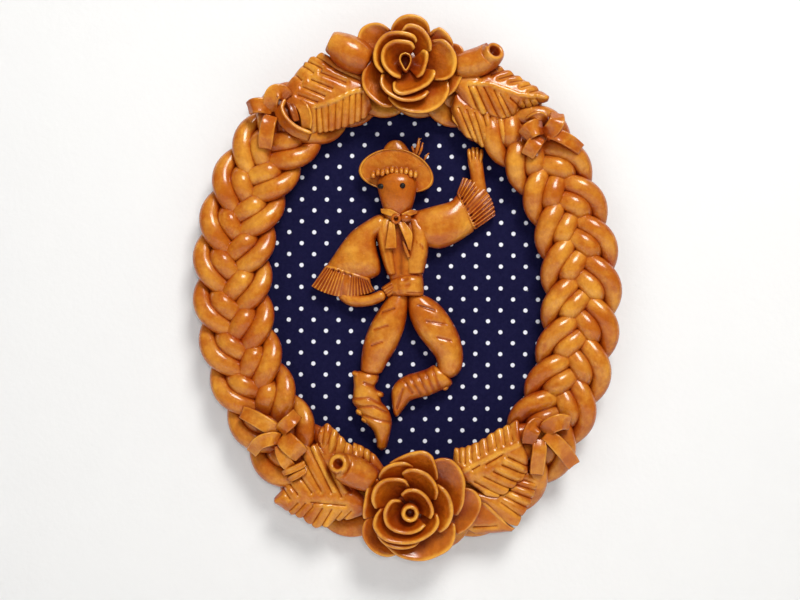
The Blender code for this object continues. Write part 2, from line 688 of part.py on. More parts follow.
def add_torso(solid):
    """Add the body, the open vest with its lapels, the scarf and the belt."""
    solid.limb(
        [(-2.5, 35, 4.6), (-2.4, 26, 5.8), (-1.6, 14, 6.0), (0.6, 4, 5.6), (1.4, -4.5, 5.2)],
        [8.5, 12.4, 10.2, 7.6, 7.4],
        [4.2, 5.2, 5.4, 5.0, 4.8],
        rings=16,
    )
    for points, wide in (
        ([(-7.5, 35, 9.0), (-10.0, 27, 10.4), (-9.2, 15, 10.8), (-5.4, 4.5, 10.0)], [2.5, 3.4, 3.4, 2.6]),
        ([(2.5, 34, 9.0), (4.6, 26, 10.2), (4.6, 15, 10.8), (3.2, 5.0, 10.2)], [2.5, 4.0, 4.2, 3.4]),
    ):
        solid.limb(points, wide, [1.6, 1.8, 1.8, 1.6], sides=8, square=4.0)
    for points in ([(-6.0, 32, 12.0), (-7.4, 20.5, 12.8)], [(-2.0, 31, 12.0), (2.6, 18.5, 12.6)]):
        solid.limb(points, [2.0, 3.0], [1.0, 1.1], rings=7, sides=8, square=4.0)
    solid.limb([(-12.0, 37.0, 6.5), (-8, 34.6, 10.5), (-2, 34.6, 10.5), (2.6, 36.6, 6.5)], [2.6, 2.8, 2.8, 2.4], [2.6] * 4)
    solid.limb([(-5.4, 32.6, 12.0), (1.0, 32.6, 12.0)], [2.6, 2.4], [2.0, 1.8], rings=8, sides=8)
    solid.limb([(-7.6, 0.4, 6.8), (1.6, 0.6, 9.0), (9.6, 0.2, 6.4)], [5.0, 5.1, 5.0], [3.6, 3.4, 3.6], square=3.5)


def add_arms(solid):
    """Add the bell sleeves with their fringed cuffs, the forearms and the hands."""
    solid.limb([(-11, 31, 5.6), (-21, 20, 6.6), (-28, 10.5, 6.2), (-31.5, 2.0, 4.6)], [7.5, 11, 13, 15.5], [4.4, 5.6, 5.0, 3.2])
    solid.limb([(-29.5, 5, 5.6), (-31.0, -0.5, 5.0), (-31.6, -3.2, 4.0)], [13.5, 15.5, 14.0], [3.6, 3.0, 2.0], rings=7, square=4.0)
    solid.limb([(-36, -4.0, 3.6), (-26, -6.4, 4.0), (-14, -4.4, 5.6), (-6, -0.5, 8.4)], [2.2, 2.9, 2.9, 2.4], [2.4, 2.8, 2.7, 2.0])
    solid.limb([(-10, -3, 8.4), (-5.5, 0.8, 10.4), (-3.2, 4.2, 10.4)], [2.6, 3.4, 2.2], [1.8, 1.8, 1.4], rings=8, sides=8)
    solid.limb([(3, 27.5, 5.6), (15, 30.5, 5.8), (26, 36.5, 5.4), (33, 43, 4.6)], [9.0, 9.8, 11.0, 12.2], [5.0, 5.0, 4.6, 3.6])
    solid.limb([(28.5, 39.5, 5.2), (34.5, 44, 4.6), (37.6, 46.6, 4.0)], [11.5, 12.8, 12.4], [4.2, 3.4, 2.4], rings=7, square=4.0)
    solid.limb([(35, 46, 5.4), (35.2, 55, 5.0), (34.0, 64, 4.6)], [4.2, 2.9, 3.0], [2.8, 2.6, 2.4])
    for finger in range(4):
        x = 30.6 + 2.3 * finger
        tip = 69.2 - 0.5 * (finger - 1.4) ** 2
        root = (33.4 + 0.7 * (finger - 1.5), 62.5, 4.8)
        solid.limb([root, (x, 66.4, 5.0), (x + 0.1, tip, 4.4)], [1.3, 1.4, 1.0], [1.5, 1.5, 1.1], rings=8, sides=7)


def add_legs(solid):
    """Add the trouser legs, and the boots with the wraps round them."""
    solid.limb(
        [(-3.5, -3, 5.4), (-8.0, -15, 6.4), (-13.2, -29, 6.6), (-18.0, -41, 5.6), (-20.6, -48, 5.0)],
        [5.4, 8.4, 8.6, 6.0, 4.6],
        [4.6, 5.6, 5.8, 4.8, 4.2],
        rings=18,
    )
    solid.limb(
        [(-21.2, -43.5, 5.0), (-22.2, -51, 5.0), (-18.4, -59, 5.0), (-14.2, -68, 4.8), (-12.2, -80.0, 3.4)],
        [5.6, 4.9, 5.6, 5.8, 3.6],
        [4.6, 4.2, 4.6, 4.2, 2.6],
        rings=18,
    )
    solid.limb(
        [(4.5, -3, 5.4), (9.5, -15, 6.4), (16.0, -27, 6.6), (20.6, -37.5, 5.8), (17.5, -45, 5.0)],
        [5.6, 8.6, 8.6, 7.2, 5.6],
        [4.6, 5.6, 5.8, 5.0, 4.4],
        rings=18,
    )
    solid.limb(
        [(19.0, -43.5, 5.0), (9.5, -47.5, 5.2), (0.5, -51.8, 5.0), (-4.4, -56.5, 4.2), (-6.4, -64.4, 2.8)],
        [5.2, 5.4, 5.0, 4.0, 1.8],
        [4.4, 4.6, 4.2, 3.4, 1.8],
        rings=18,
    )
    solid.limb([(20.0, -50, 5.2), (23.2, -52.6, 5.0)], [2.2, 1.6], [2.0, 1.4], rings=6, sides=7)
    for x, z, bearing, half in (
        (-22.4, -47.5, 12, 5.6),
        (-20.6, -57.5, -22, 6.4),
        (-17.0, -63.5, -28, 6.4),
        (-14.6, -69.5, -20, 6.2),
        (8.5, -48.0, 66, 5.9),
        (14.0, -46.0, 62, 6.0),
        (1.8, -51.2, 52, 5.6),
    ):
        tilt = math.radians(bearing)
        side = np.array([math.cos(tilt), math.sin(tilt)])
        ends = [(x - half * side[0], z - half * side[1], 3.0), (x, z, 10.0), (x + half * side[0], z + half * side[1], 3.0)]
        solid.limb(ends, [1.5, 1.7, 1.5], [1.1, 1.2, 1.1], rings=9, sides=7)


def eye_solid(x, z, height):
    """Return one round black eye bead."""
    solid = Solid()
    half_turn = np.linspace(0.0, math.pi, 7)
    profile = [(1.5 * math.sin(step) + 0.001, -1.1 * math.cos(step)) for step in half_turn]
    solid.turned((x, z, height), (0, 0, 1), profile, sides=10)
    return solid


def oval_plate(name, margin, back, thickness, look, sides=40):
    """Make a flat oval plate whose edge lies a margin outside the braid's middle line."""
    angle = np.linspace(0.0, 2 * math.pi, sides, endpoint=False)
    rim = egg(angle, margin)
    form = bmesh.new()
    ring = [form.verts.new((x * MM, -back * MM, z * MM)) for x, z in rim.tolist()]
    face = form.faces.new(ring)
    raised = bmesh.ops.extrude_face_region(form, geom=[face])
    verts = [item for item in raised["geom"] if isinstance(item, bmesh.types.BMVert)]
    bmesh.ops.translate(form, verts=verts, vec=(0.0, -thickness * MM, 0.0))
    bmesh.ops.recalc_face_normals(form, faces=form.faces)
    mesh = bpy.data.meshes.new(name)
    form.to_mesh(mesh)
    form.free()
    piece = add_piece(name, mesh, look)
    piece.data.set_sharp_from_angle(angle=math.radians(40))
    return piece


def main():
    """Build the plaque from the wall forwards; each piece is cut clear of those that lie on it."""
    clear_scene()
    oval_plate("backing_board", BOARD_MARGIN, 0.0, BOARD_THICKNESS, FIBREBOARD)
    oval_plate("fabric_panel", CLOTH_MARGIN, CLOTH_BACK, CLOTH_THICKNESS, COTTON)
    eyes = [
        baked("left_eye", eye_solid(-13.0, 49.4, 13.0), 0.25, EYE_FACES, BLACK),
        baked("right_eye", eye_solid(-1.9, 49.6, 14.6), 0.25, EYE_FACES, BLACK),
    ]
    baked("dancing_figure", figure_solid(), 0.55, FIGURE_FACES, over=eyes)
    over = [
        baked("top_rose", rose_solid(TOP_ROSE_HEART, TOP_ROSE_PETALS), 0.6, ROSE_FACES),
        baked("bottom_rose", rose_solid(BOTTOM_ROSE_HEART, BOTTOM_ROSE_PETALS), 0.6, ROSE_FACES),
    ]
    buds = {
        "top_left_bud": bud_solid((-21.0, 106.0, 17.0), (-38.5, 124.0, 18.5), 8.2, False),
        "top_right_bud": bud_solid((24.0, 108.0, 17.5), (45.5, 114.0, 19.5), 8.0, True),
        "bottom_left_bud": bud_solid((-16.0, -95.5, 17.0), (-36.5, -81.0, 20.0), 8.4, True),
    }
    for name, solid in buds.items():
        over.append(baked(name, solid, 0.6, BUD_FACES, over=over))
    for name, leaf in LEAVES.items():
        blade = add_piece(name, leaf_solid(leaf).mesh(name), DOUGH)
        over.append((blade, finished(blade, LEAF_FACES, DOUGH, over)))
    for name, ribbons in BOWS.items():
        over.append(baked(name, bow_solid(ribbons), 0.5, BOW_FACES, over=over))
    baked("braided_frame", braid_solid(), 0.8, BRAID_FACES, over=over)
    for cutter in [piece for piece in bpy.data.objects if piece.hide_render]:
        bpy.data.objects.remove(cutter, do_unlink=True)


main()
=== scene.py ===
"""Looks of the bread dough plaque: a braided oval frame with roses, leaves and bows round a dancer.

A working point is (x, z, h) in millimetres: x to the right, z up, and h the height over the face of the
cloth, towards the viewer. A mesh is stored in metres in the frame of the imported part.
"""

import logging
import math
from collections.abc import Callable, Sequence
from dataclasses import dataclass, field
from enum import Enum

import bpy
import numpy as np
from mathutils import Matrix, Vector
from numpy.typing import NDArray


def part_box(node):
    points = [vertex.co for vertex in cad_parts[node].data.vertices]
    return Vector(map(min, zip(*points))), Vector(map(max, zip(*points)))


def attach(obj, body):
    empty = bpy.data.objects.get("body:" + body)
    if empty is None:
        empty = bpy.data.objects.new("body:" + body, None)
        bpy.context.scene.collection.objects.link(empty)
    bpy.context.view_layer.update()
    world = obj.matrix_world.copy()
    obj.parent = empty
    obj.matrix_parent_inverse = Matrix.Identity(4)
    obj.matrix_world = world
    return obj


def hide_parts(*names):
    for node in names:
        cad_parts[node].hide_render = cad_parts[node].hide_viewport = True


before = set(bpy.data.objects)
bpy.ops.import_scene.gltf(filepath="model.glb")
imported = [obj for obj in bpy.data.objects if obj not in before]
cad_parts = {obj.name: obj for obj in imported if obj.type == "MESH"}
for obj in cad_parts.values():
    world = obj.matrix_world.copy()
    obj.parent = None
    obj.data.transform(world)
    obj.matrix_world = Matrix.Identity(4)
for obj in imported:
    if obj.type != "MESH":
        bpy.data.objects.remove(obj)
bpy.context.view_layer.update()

Array = NDArray[np.float64]
Colour = tuple[float, float, float, float]
Relief = Callable[[Array], Array]
Value = bpy.types.NodeSocket | float | Sequence[float]

log = logging.getLogger("plaque")

MM = 0.001
SEAT = 0.45
CLOTH_FACE = -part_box("fabric_panel")[0].y / MM
CLOTH_BACK = -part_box("fabric_panel")[1].y / MM
BOARD_FACE = -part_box("backing_board")[0].y / MM
FULL_TURN = 2 * math.pi


class Slot(Enum):
    """The record's material slots."""

    DOUGH = "baked_dough"
    COTTON = "navy_cotton"
    BOARD = "fibreboard"
    BEAD = "black_bead"


def unit(vectors: Array) -> Array:
    """Return the vectors at length one."""
    return vectors / np.maximum(np.linalg.norm(vectors, axis=-1, keepdims=True), 1e-9)


def cosine_steps(count: int) -> Array:
    """Return fractions from 0 to 1 that lie closer together near both ends: half of one minus a cosine."""
    return 0.5 - 0.5 * np.cos(np.linspace(0.0, math.pi, count))


def round_off(share: Array, start: float, end: float) -> Array:
    """Return a scale that falls to nothing at both ends of a run.

    Near an end the scale is a quarter circle: the root of one less the square of how far is left to go.

    Args:
        share: fractions of the run, from 0 to 1.
        start: share of the run that the first rounding takes.
        end: share of the run that the last rounding takes.

    Returns:
        A scale from 0 to 1 for each fraction.
    """
    rise = 1.0 - np.clip(share / start, 0.0, 1.0)
    fall = 1.0 - np.clip((1.0 - share) / end, 0.0, 1.0)
    return np.sqrt(np.clip(1.0 - rise**2, 0.0, 1.0) * np.clip(1.0 - fall**2, 0.0, 1.0))


def smooth(points: Array, where: Array) -> Array:
    """Carry a soft curve through a few points: cubic pieces that share their slopes.

    Args:
        points: the points (n, k), of which the first columns may be a place and the rest sizes.
        where: fractions of the way along, from 0 to 1.

    Returns:
        The curve's points, one row for each fraction.
    """
    points = np.asarray(points, float)
    steps = np.linalg.norm(np.diff(points, axis=0), axis=1)
    knots = np.concatenate([[0.0], np.cumsum(np.sqrt(steps))])
    slopes = np.gradient(points, knots, axis=0)
    places = where * knots[-1]
    piece = np.clip(np.searchsorted(knots, places, side="right") - 1, 0, len(knots) - 2)
    span = (knots[piece + 1] - knots[piece])[:, None]
    t = (places - knots[piece])[:, None] / span
    start = (2 * t**3 - 3 * t**2 + 1) * points[piece] + (t**3 - 2 * t**2 + t) * span * slopes[piece]
    end = (3 * t**2 - 2 * t**3) * points[piece + 1] + (t**3 - t**2) * span * slopes[piece + 1]
    return start + end


def along_line(points: Array, where: Array) -> Array:
    """Return points at these shares of the length of a bent line, straight between its corners."""
    steps = np.linalg.norm(np.diff(points, axis=0), axis=1)
    walked = np.concatenate([[0.0], np.cumsum(steps)])
    return np.stack([np.interp(where * walked[-1], walked, column) for column in points.T], axis=-1)


def section(sides: int, square: float, upper: float = 0.5) -> tuple[Array, Array]:
    """Return a rounded section: a circle whose cosine and sine are raised to two over its squareness.

    Args:
        sides: number of corners.
        square: 2 for an ellipse, more for a boxier section.
        upper: share of the corners on its upper half.

    Returns:
        How far across and how high each corner lies, from -1 to 1.
    """
    above = int(sides * upper)
    over = np.linspace(0.0, math.pi, above, endpoint=False)
    under = np.linspace(math.pi, FULL_TURN, sides - above, endpoint=False)
    angle = np.concatenate([over, under])
    across = np.sign(np.cos(angle)) * np.abs(np.cos(angle)) ** (2.0 / square)
    height = np.sign(np.sin(angle)) * np.abs(np.sin(angle)) ** (2.0 / square)
    return across, height


def grid_quads(index: NDArray[np.int64]) -> NDArray[np.int64]:
    """Return the quads between neighbouring rows and columns of a grid of point numbers."""
    corners = [index[:-1, :-1], index[1:, :-1], index[1:, 1:], index[:-1, 1:]]
    return np.stack([corner.ravel() for corner in corners], axis=1)


def fan(ring: NDArray[np.int64], pole: int, first: bool) -> NDArray[np.int64]:
    """Return the triangles between a ring, whose last point repeats its first, and a pole."""
    start, end = (ring[:-1], ring[1:]) if first else (ring[1:], ring[:-1])
    return np.stack([np.full(len(start), pole), start, end], axis=1)


class Wobble:
    """A soft random line or sheet: a sum of sines with drawn directions and phases, from about -1 to 1."""

    def __init__(self, seed: int, waves: int = 5, reach: float = 1.0) -> None:
        """Draw the waves: their pitch in radians for each unit of distance, and their phase."""
        draw = np.random.default_rng(seed)
        self.pitch = draw.normal(0.0, reach, (waves, 3))
        self.phase = draw.uniform(0.0, FULL_TURN, waves)

    def at(self, *places: Array) -> Array:
        """Return the mean of the waves' sines at these places, scaled by the root of twice their number."""
        total = self.phase
        for axis, place in enumerate(places):
            total = total + np.asarray(place)[..., None] * self.pitch[:, axis]
        return np.sin(total).sum(axis=-1) / math.sqrt(2 * len(self.phase))


@dataclass
class Cuts:
    """Knife cuts and pricks: straight strokes on the plaque, each pressed in with a bell-shaped section."""

    strokes: Sequence[tuple[float, float, float, float]]
    width: float
    depth: float

    def __call__(self, flat: Array) -> Array:
        """Work out how much the cuts lower a surface.

        The nearest stroke counts: minus the depth times e to the minus square of distance over width.

        Args:
            flat: points (..., 2) on the plaque.

        Returns:
            The change of height at each point, zero or less.
        """
        strokes = np.asarray(self.strokes, float)
        start, span = strokes[:, :2], strokes[:, 2:] - strokes[:, :2]
        gap = flat[..., None, :] - start
        along = np.clip((gap * span).sum(-1) / ((span**2).sum(-1) + 1e-9), 0.0, 1.0)
        gap = gap - along[..., None] * span
        return -self.depth * np.exp(-(gap**2).sum(-1) / self.width**2).max(axis=-1)


class Clay:
    """Closed surfaces that become one piece, each point with a tone: above 0 paler, below 0 darker.

    The tone holds each part's own colour together with painted light and shade.
    """

    def __init__(self) -> None:
        """Start with no surface."""
        self._points: list[Array] = []
        self._tones: list[Array] = []
        self._quads: list[NDArray[np.int64]] = []
        self._fans: list[NDArray[np.int64]] = []
        self._total = 0

    def add(self, points: Array, quads: NDArray[np.int64], fans: NDArray[np.int64], tone: Array) -> None:
        """Take one closed surface and turn its faces outwards, by the sign of the volume inside them.

        Args:
            points: the points (n, 3).
            quads: four point numbers for each quad.
            fans: three point numbers for each triangle.
            tone: the tone of each point.
        """
        halves = np.concatenate([quads[:, :3], quads[:, [0, 2, 3]], fans])
        a, b, c = (points[halves[:, corner]] for corner in range(3))
        if np.einsum("ij,ij->", a, np.cross(b, c)) < 0:
            quads, fans = quads[:, ::-1], fans[:, ::-1]
        self._points.append(points)
        self._tones.append(np.broadcast_to(tone, len(points)))
        self._quads.append(quads + self._total)
        self._fans.append(fans + self._total)
        self._total += len(points)

    def skin(self, rings: Array, tone: Array, loop: bool = False) -> None:
        """Join rings of points (rows, sides, 3) into a tube, closed on itself or by a fan at each end."""
        rows, sides = rings.shape[:2]
        index = np.arange(rows * sides).reshape(rows, sides)
        index = np.concatenate([index, index[:, :1]], axis=1)
        if loop:
            index = np.concatenate([index, index[:1]], axis=0)
            self.add(rings.reshape(-1, 3), grid_quads(index), np.zeros((0, 3), int), tone.ravel())
            return
        ends = np.stack([rings[0].mean(axis=0), rings[-1].mean(axis=0)])
        points = np.concatenate([rings.reshape(-1, 3), ends])
        tones = np.concatenate([tone.ravel(), [tone[0].mean(), tone[-1].mean()]])
        fans = [fan(index[0], rows * sides, True), fan(index[-1], rows * sides + 1, False)]
        self.add(points, grid_quads(index), np.concatenate(fans), tones)

    def sheet(self, middle: Array, half: Array, tone: Array) -> None:
        """Give a grid of points a thickness that rounds to nothing at its rim.

        Each side lies the half thickness off the middle grid, along the normal, which is the cross product
        of its two slopes. Both sides share the rim.

        Args:
            middle: the middle surface (rows, columns, 3).
            half: half thickness of each point, zero on the rim.
            tone: the tone of each point.
        """
        rows, columns = middle.shape[:2]
        normal = unit(np.cross(np.gradient(middle, axis=0), np.gradient(middle, axis=1)))
        upper = (middle + normal * half[..., None]).reshape(-1, 3)
        lower = (middle - normal * half[..., None])[1:-1, 1:-1].reshape(-1, 3)
        index = np.arange(rows * columns).reshape(rows, columns)
        under = index.copy()
        under[1:-1, 1:-1] = rows * columns + (
            np.arange((rows - 2) * (columns - 2)).reshape(rows - 2, columns - 2)
        )
        quads = np.concatenate([grid_quads(index), grid_quads(under)[:, ::-1]])
        tones = np.concatenate([tone.ravel(), tone[1:-1, 1:-1].ravel()])
        self.add(np.concatenate([upper, lower]), quads, np.zeros((0, 3), int), tones)

    def tube(
        self,
        path: Array,
        half_width: Array | float,
        half_height: Array | float,
        sides: int = 20,
        square: float = 2.0,
        stand: float = 0.0,
        loop: bool = False,
        tone: float = 0.0,
        painted_top_light: float = 0.25,
    ) -> None:
        """Carry a rounded section along a path.

        A point is the path's plus the side direction times the half width times across, plus the rising
        direction times the half height times high. Stand turns both directions about the path.

        Args:
            path: the middle line (n, 3).
            half_width: half width, one value or one for each point.
            half_height: half height, one value or one for each point.
            sides: corners of the section.
            square: squareness of the section.
            stand: turn of the section in degrees.
            loop: whether the path closes on itself.
            tone: tone of the whole tube.
            painted_top_light: how much paler, as painted light, its top is than its sides, and its underside
                darker.
        """
        across, high = section(sides, square)
        if loop:
            along = unit(np.roll(path, -1, axis=0) - np.roll(path, 1, axis=0))
        else:
            along = unit(np.gradient(path, axis=0))
        side = unit(np.cross(along, (0.0, 0.0, 1.0)))
        rise = np.cross(side, along)
        turn = math.radians(stand)
        side, rise = (
            side * math.cos(turn) + rise * math.sin(turn),
            rise * math.cos(turn) - side * math.sin(turn),
        )
        wide = np.broadcast_to(half_width, len(path))[:, None] * across
        tall = np.broadcast_to(half_height, len(path))[:, None] * high
        rings = path[:, None] + side[:, None] * wide[..., None] + rise[:, None] * tall[..., None]
        rings[..., 2] = np.maximum(rings[..., 2], SEAT)
        place = [3.0 * across + 0 * wide, 3.0 * high + 0 * wide,
            0.05 * (path[:, :1] + 0.6 * path[:, 1:2]) + 0 * wide]
        # Painted light pales the top and painted shade darkens the underside; the wobble adds random tone.
        self.skin(rings, tone + painted_top_light * high + 0.12 * Wobble(3, 6).at(*place), loop)

    def limb(
        self,
        points: Sequence[tuple[float, float, float]],
        widths: Sequence[float],
        heights: Sequence[float],
        rows: int = 36,
        sides: int = 24,
        square: float = 2.0,
        tone: float = 0.0,
    ) -> None:
        """Carry a section along a soft curve through a few points, with both ends rounded off.

        Args:
            points: places (x, z, h) on the limb's middle line.
            widths: half width at each place.
            heights: half height at each place.
            rows: number of rings.
            sides: corners of each ring.
            square: squareness of the section.
            tone: tone of the limb.
        """
        where = cosine_steps(rows)
        curve = smooth(np.column_stack([points, widths, heights]), where)
        length = np.linalg.norm(np.diff(curve[:, :3], axis=0), axis=1).sum()
        start = min(0.45, 0.9 * widths[0] / length)
        end = min(0.45, 0.9 * widths[-1] / length)
        scale = np.maximum(round_off(where, start, end), 0.02)
        self.tube(curve[:, :3], curve[:, 3] * scale, curve[:, 4] * scale, sides, square, tone=tone)

    def loft(
        self,
        stations: Sequence[tuple[float, float, float, float, float]],
        rows: int = 70,
        sides: int = 56,
        square: float = 2.2,
        ends: tuple[float, float] = (0.12, 0.12),
        bulge: tuple[float, float] = (0.0, 0.0),
        relief: Sequence[Relief] = (),
        depth: float = 0.55,
        tone: float = 0.0,
        painted_top_light: float = 0.2,
        painted_shade: float = 0.9,
    ) -> None:
        """Fill the plaque between two edge lines with a rounded body.

        Across a row a point is the middle of the two edges plus half their distance times across. The bulge
        pushes it further along by the share of the way times one less the square of across. Its height is
        the top less the half height, plus the half height times high, plus the relief.

        Args:
            stations: rows of (x, z) on one edge, (x, z) on the other, and the height of the top between them.
            rows: number of rings.
            sides: corners of each ring.
            square: squareness of the section.
            ends: shares of the length that the two end roundings take.
            bulge: how far the middle of the last row lies beyond its edges.
            relief: functions of the place on the plaque that change the height.
            depth: half height as a share of the top's height.
            tone: tone of the body.
            painted_top_light: how much paler, as painted light, its top is than its sides, and its underside
                darker.
            painted_shade: how much darker, as painted shade, each millimetre of relief is.
        """
        where = cosine_steps(rows)
        table = smooth(np.asarray(stations, float), where)
        first, second, top = table[:, None, 0:2], table[:, None, 2:4], table[:, 4, None]
        across, high = section(sides, square, 0.72)
        scale = np.maximum(round_off(where, *ends), 0.02)[:, None]
        wide = (across * scale)[..., None]
        flat = (first + second) / 2 + (first - second) / 2 * wide
        flat = flat + where[:, None, None] * (1 - across**2)[None, :, None] * np.asarray(bulge)
        height = top * (1 - depth) + top * depth * high * scale
        # Painted light on the top, and painted shade deepening with each millimetre of relief.
        tones = tone + painted_top_light * high * np.ones_like(scale)
        for change in relief:
            lower = change(flat) * np.clip(high, 0.0, 1.0) ** 0.3
            height = height + lower
            tones = tones + painted_shade * lower
        height = np.maximum(height, SEAT)
        self.skin(np.concatenate([flat, height[..., None]], axis=-1), tones)

    def turned(
        self,
        axis: Sequence[tuple[float, float, float]],
        profile: Array,
        sides: int = 48,
        tone: float = 0.0,
        shape: Relief | None = None,
    ) -> None:
        """Turn a profile about an axis, which may bend.

        A point is the axis at its share of the way plus the spoke at its angle times its radius.

        Args:
            axis: points (x, z, h) that the axis passes, the foot first.
            profile: rows of radius, share of the axis and tone.
            sides: number of spokes.
            tone: tone of the whole piece.
            shape: scale of the radius as a function of angle and share of the profile.
        """
        bend = np.asarray(axis, float)
        where = profile[:, 1]
        ahead = smooth(bend, np.minimum(where + 0.01, 1.0)) - smooth(bend, np.maximum(where - 0.01, 0.0))
        along = unit(ahead)
        side = unit(np.cross(along, (0.13, 0.21, 0.97)))
        rise = np.cross(side, along)
        angle = np.linspace(0.0, FULL_TURN, sides, endpoint=False)[None, :, None]
        spoke = side[:, None] * np.cos(angle) + rise[:, None] * np.sin(angle)
        radius = profile[:, 0, None] * np.ones(sides)
        if shape is not None:
            share = np.linspace(0.0, 1.0, len(profile))[:, None] * np.ones(sides)
            radius = radius * shape(np.stack([angle[..., 0] * np.ones_like(share), share], axis=-1))
        rings = smooth(bend, where)[:, None] + radius[..., None] * spoke
        self.skin(rings, profile[:, 2, None] * np.ones(sides) + tone)

    def piece(self, name: str, material: bpy.types.Material) -> bpy.types.Object:
        """Make one object of all the surfaces, smooth and dressed, with the tones as a point attribute.

        Args:
            name: the object's name.
            material: its finish.

        Returns:
            The object, in metres and in the frame of the part.
        """
        points = np.concatenate(self._points)
        world = np.stack([points[:, 0], -(CLOTH_FACE + points[:, 2]), points[:, 1]], axis=1) * MM
        quads, fans = np.concatenate(self._quads), np.concatenate(self._fans)
        mesh = bpy.data.meshes.new(name)
        mesh.vertices.add(len(world))
        mesh.vertices.foreach_set("co", world.ravel())
        mesh.loops.add(quads.size + fans.size)
        mesh.loops.foreach_set("vertex_index", np.concatenate([quads.ravel(), fans.ravel()]))
        mesh.polygons.add(len(quads) + len(fans))
        starts = np.concatenate([np.arange(len(quads)) * 4, quads.size + np.arange(len(fans)) * 3])
        mesh.polygons.foreach_set("loop_start", starts)
        mesh.update(calc_edges=True)
        mesh.validate()
        tones = mesh.attributes.new("tone", "FLOAT", "POINT")
        tones.data.foreach_set("value", np.concatenate(self._tones))
        mesh.shade_smooth()
        mesh.materials.append(material)
        piece = bpy.data.objects.new(name, mesh)
        bpy.context.scene.collection.objects.link(piece)
        return piece


def install(piece: bpy.types.Object, node: str) -> None:
    """Let a piece stand for a node of the part, and report it."""
    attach(piece, "root")
    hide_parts(node)
    log.info("%s: %d faces", piece.name, len(piece.data.polygons))


class Graph:
    """The nodes of one material, added one call at a time."""

    def __init__(self, name: str) -> None:
        """Start a material with its shader and the place on the object."""
        self.material = bpy.data.materials.new(name)
        self.material.use_nodes = True
        self.shader = self.material.node_tree.nodes["Principled BSDF"]
        self.place = self.node("ShaderNodeTexCoord", {}).outputs["Object"]

    def node(self, kind: str, inputs: dict[str | int, Value], **settings: object) -> bpy.types.Node:
        """Add a node.

        Args:
            kind: the node's type.
            inputs: for each input either a socket to link or a value to set.
            settings: the node's own properties.

        Returns:
            The node.
        """
        tree = self.material.node_tree
        node = tree.nodes.new(kind)
        for name, value in settings.items():
            setattr(node, name, value)
        for name, value in inputs.items():
            if isinstance(value, bpy.types.NodeSocket):
                tree.links.new(value, node.inputs[name])
            else:
                node.inputs[name].default_value = value
        return node

    def math(self, operation: str, a: Value, b: Value = 0.0, c: Value = 0.0) -> bpy.types.NodeSocket:
        """Return the result of one sum on numbers."""
        return self.node("ShaderNodeMath", {0: a, 1: b, 2: c}, operation=operation).outputs[0]

    def vector(self, operation: str, a: Value, b: Value, result: str = "Vector") -> bpy.types.NodeSocket:
        """Return the result of one sum on vectors."""
        return self.node("ShaderNodeVectorMath", {0: a, 1: b}, operation=operation).outputs[result]

    def noise(self, scale: float, detail: float = 2.0, rough: float = 0.5) -> bpy.types.NodeSocket:
        """Return a cloudy pattern on the object's place."""
        inputs = {"Vector": self.place, "Scale": scale, "Detail": detail, "Roughness": rough}
        return self.node("ShaderNodeTexNoise", inputs).outputs[0]

    def span(self, value: Value, low: float, high: float, start: float, end: float) -> bpy.types.NodeSocket:
        """Return the value carried from one range to another, and held inside it."""
        inputs = {0: value, 1: low, 2: high, 3: start, 4: end}
        return self.node("ShaderNodeMapRange", inputs).outputs[0]

    def mix(self, factor: Value, a: Value, b: Value) -> bpy.types.NodeSocket:
        """Return a blend of two colours."""
        inputs = {0: factor, 6: a, 7: b}
        return self.node("ShaderNodeMix", inputs, data_type="RGBA").outputs[2]

    def shade(self, inputs: dict[str, Value]) -> None:
        """Set or link the shader's inputs."""
        for name, value in inputs.items():
            if isinstance(value, bpy.types.NodeSocket):
                self.material.node_tree.links.new(value, self.shader.inputs[name])
            else:
                self.shader.inputs[name].default_value = value

    def bump(self, height: bpy.types.NodeSocket, distance: float, strength: float) -> None:
        """Let a pattern lift the surface by up to a distance in metres."""
        inputs = {"Height": height, "Distance": distance, "Strength": strength}
        self.shade({"Normal": self.node("ShaderNodeBump", inputs).outputs["Normal"]})


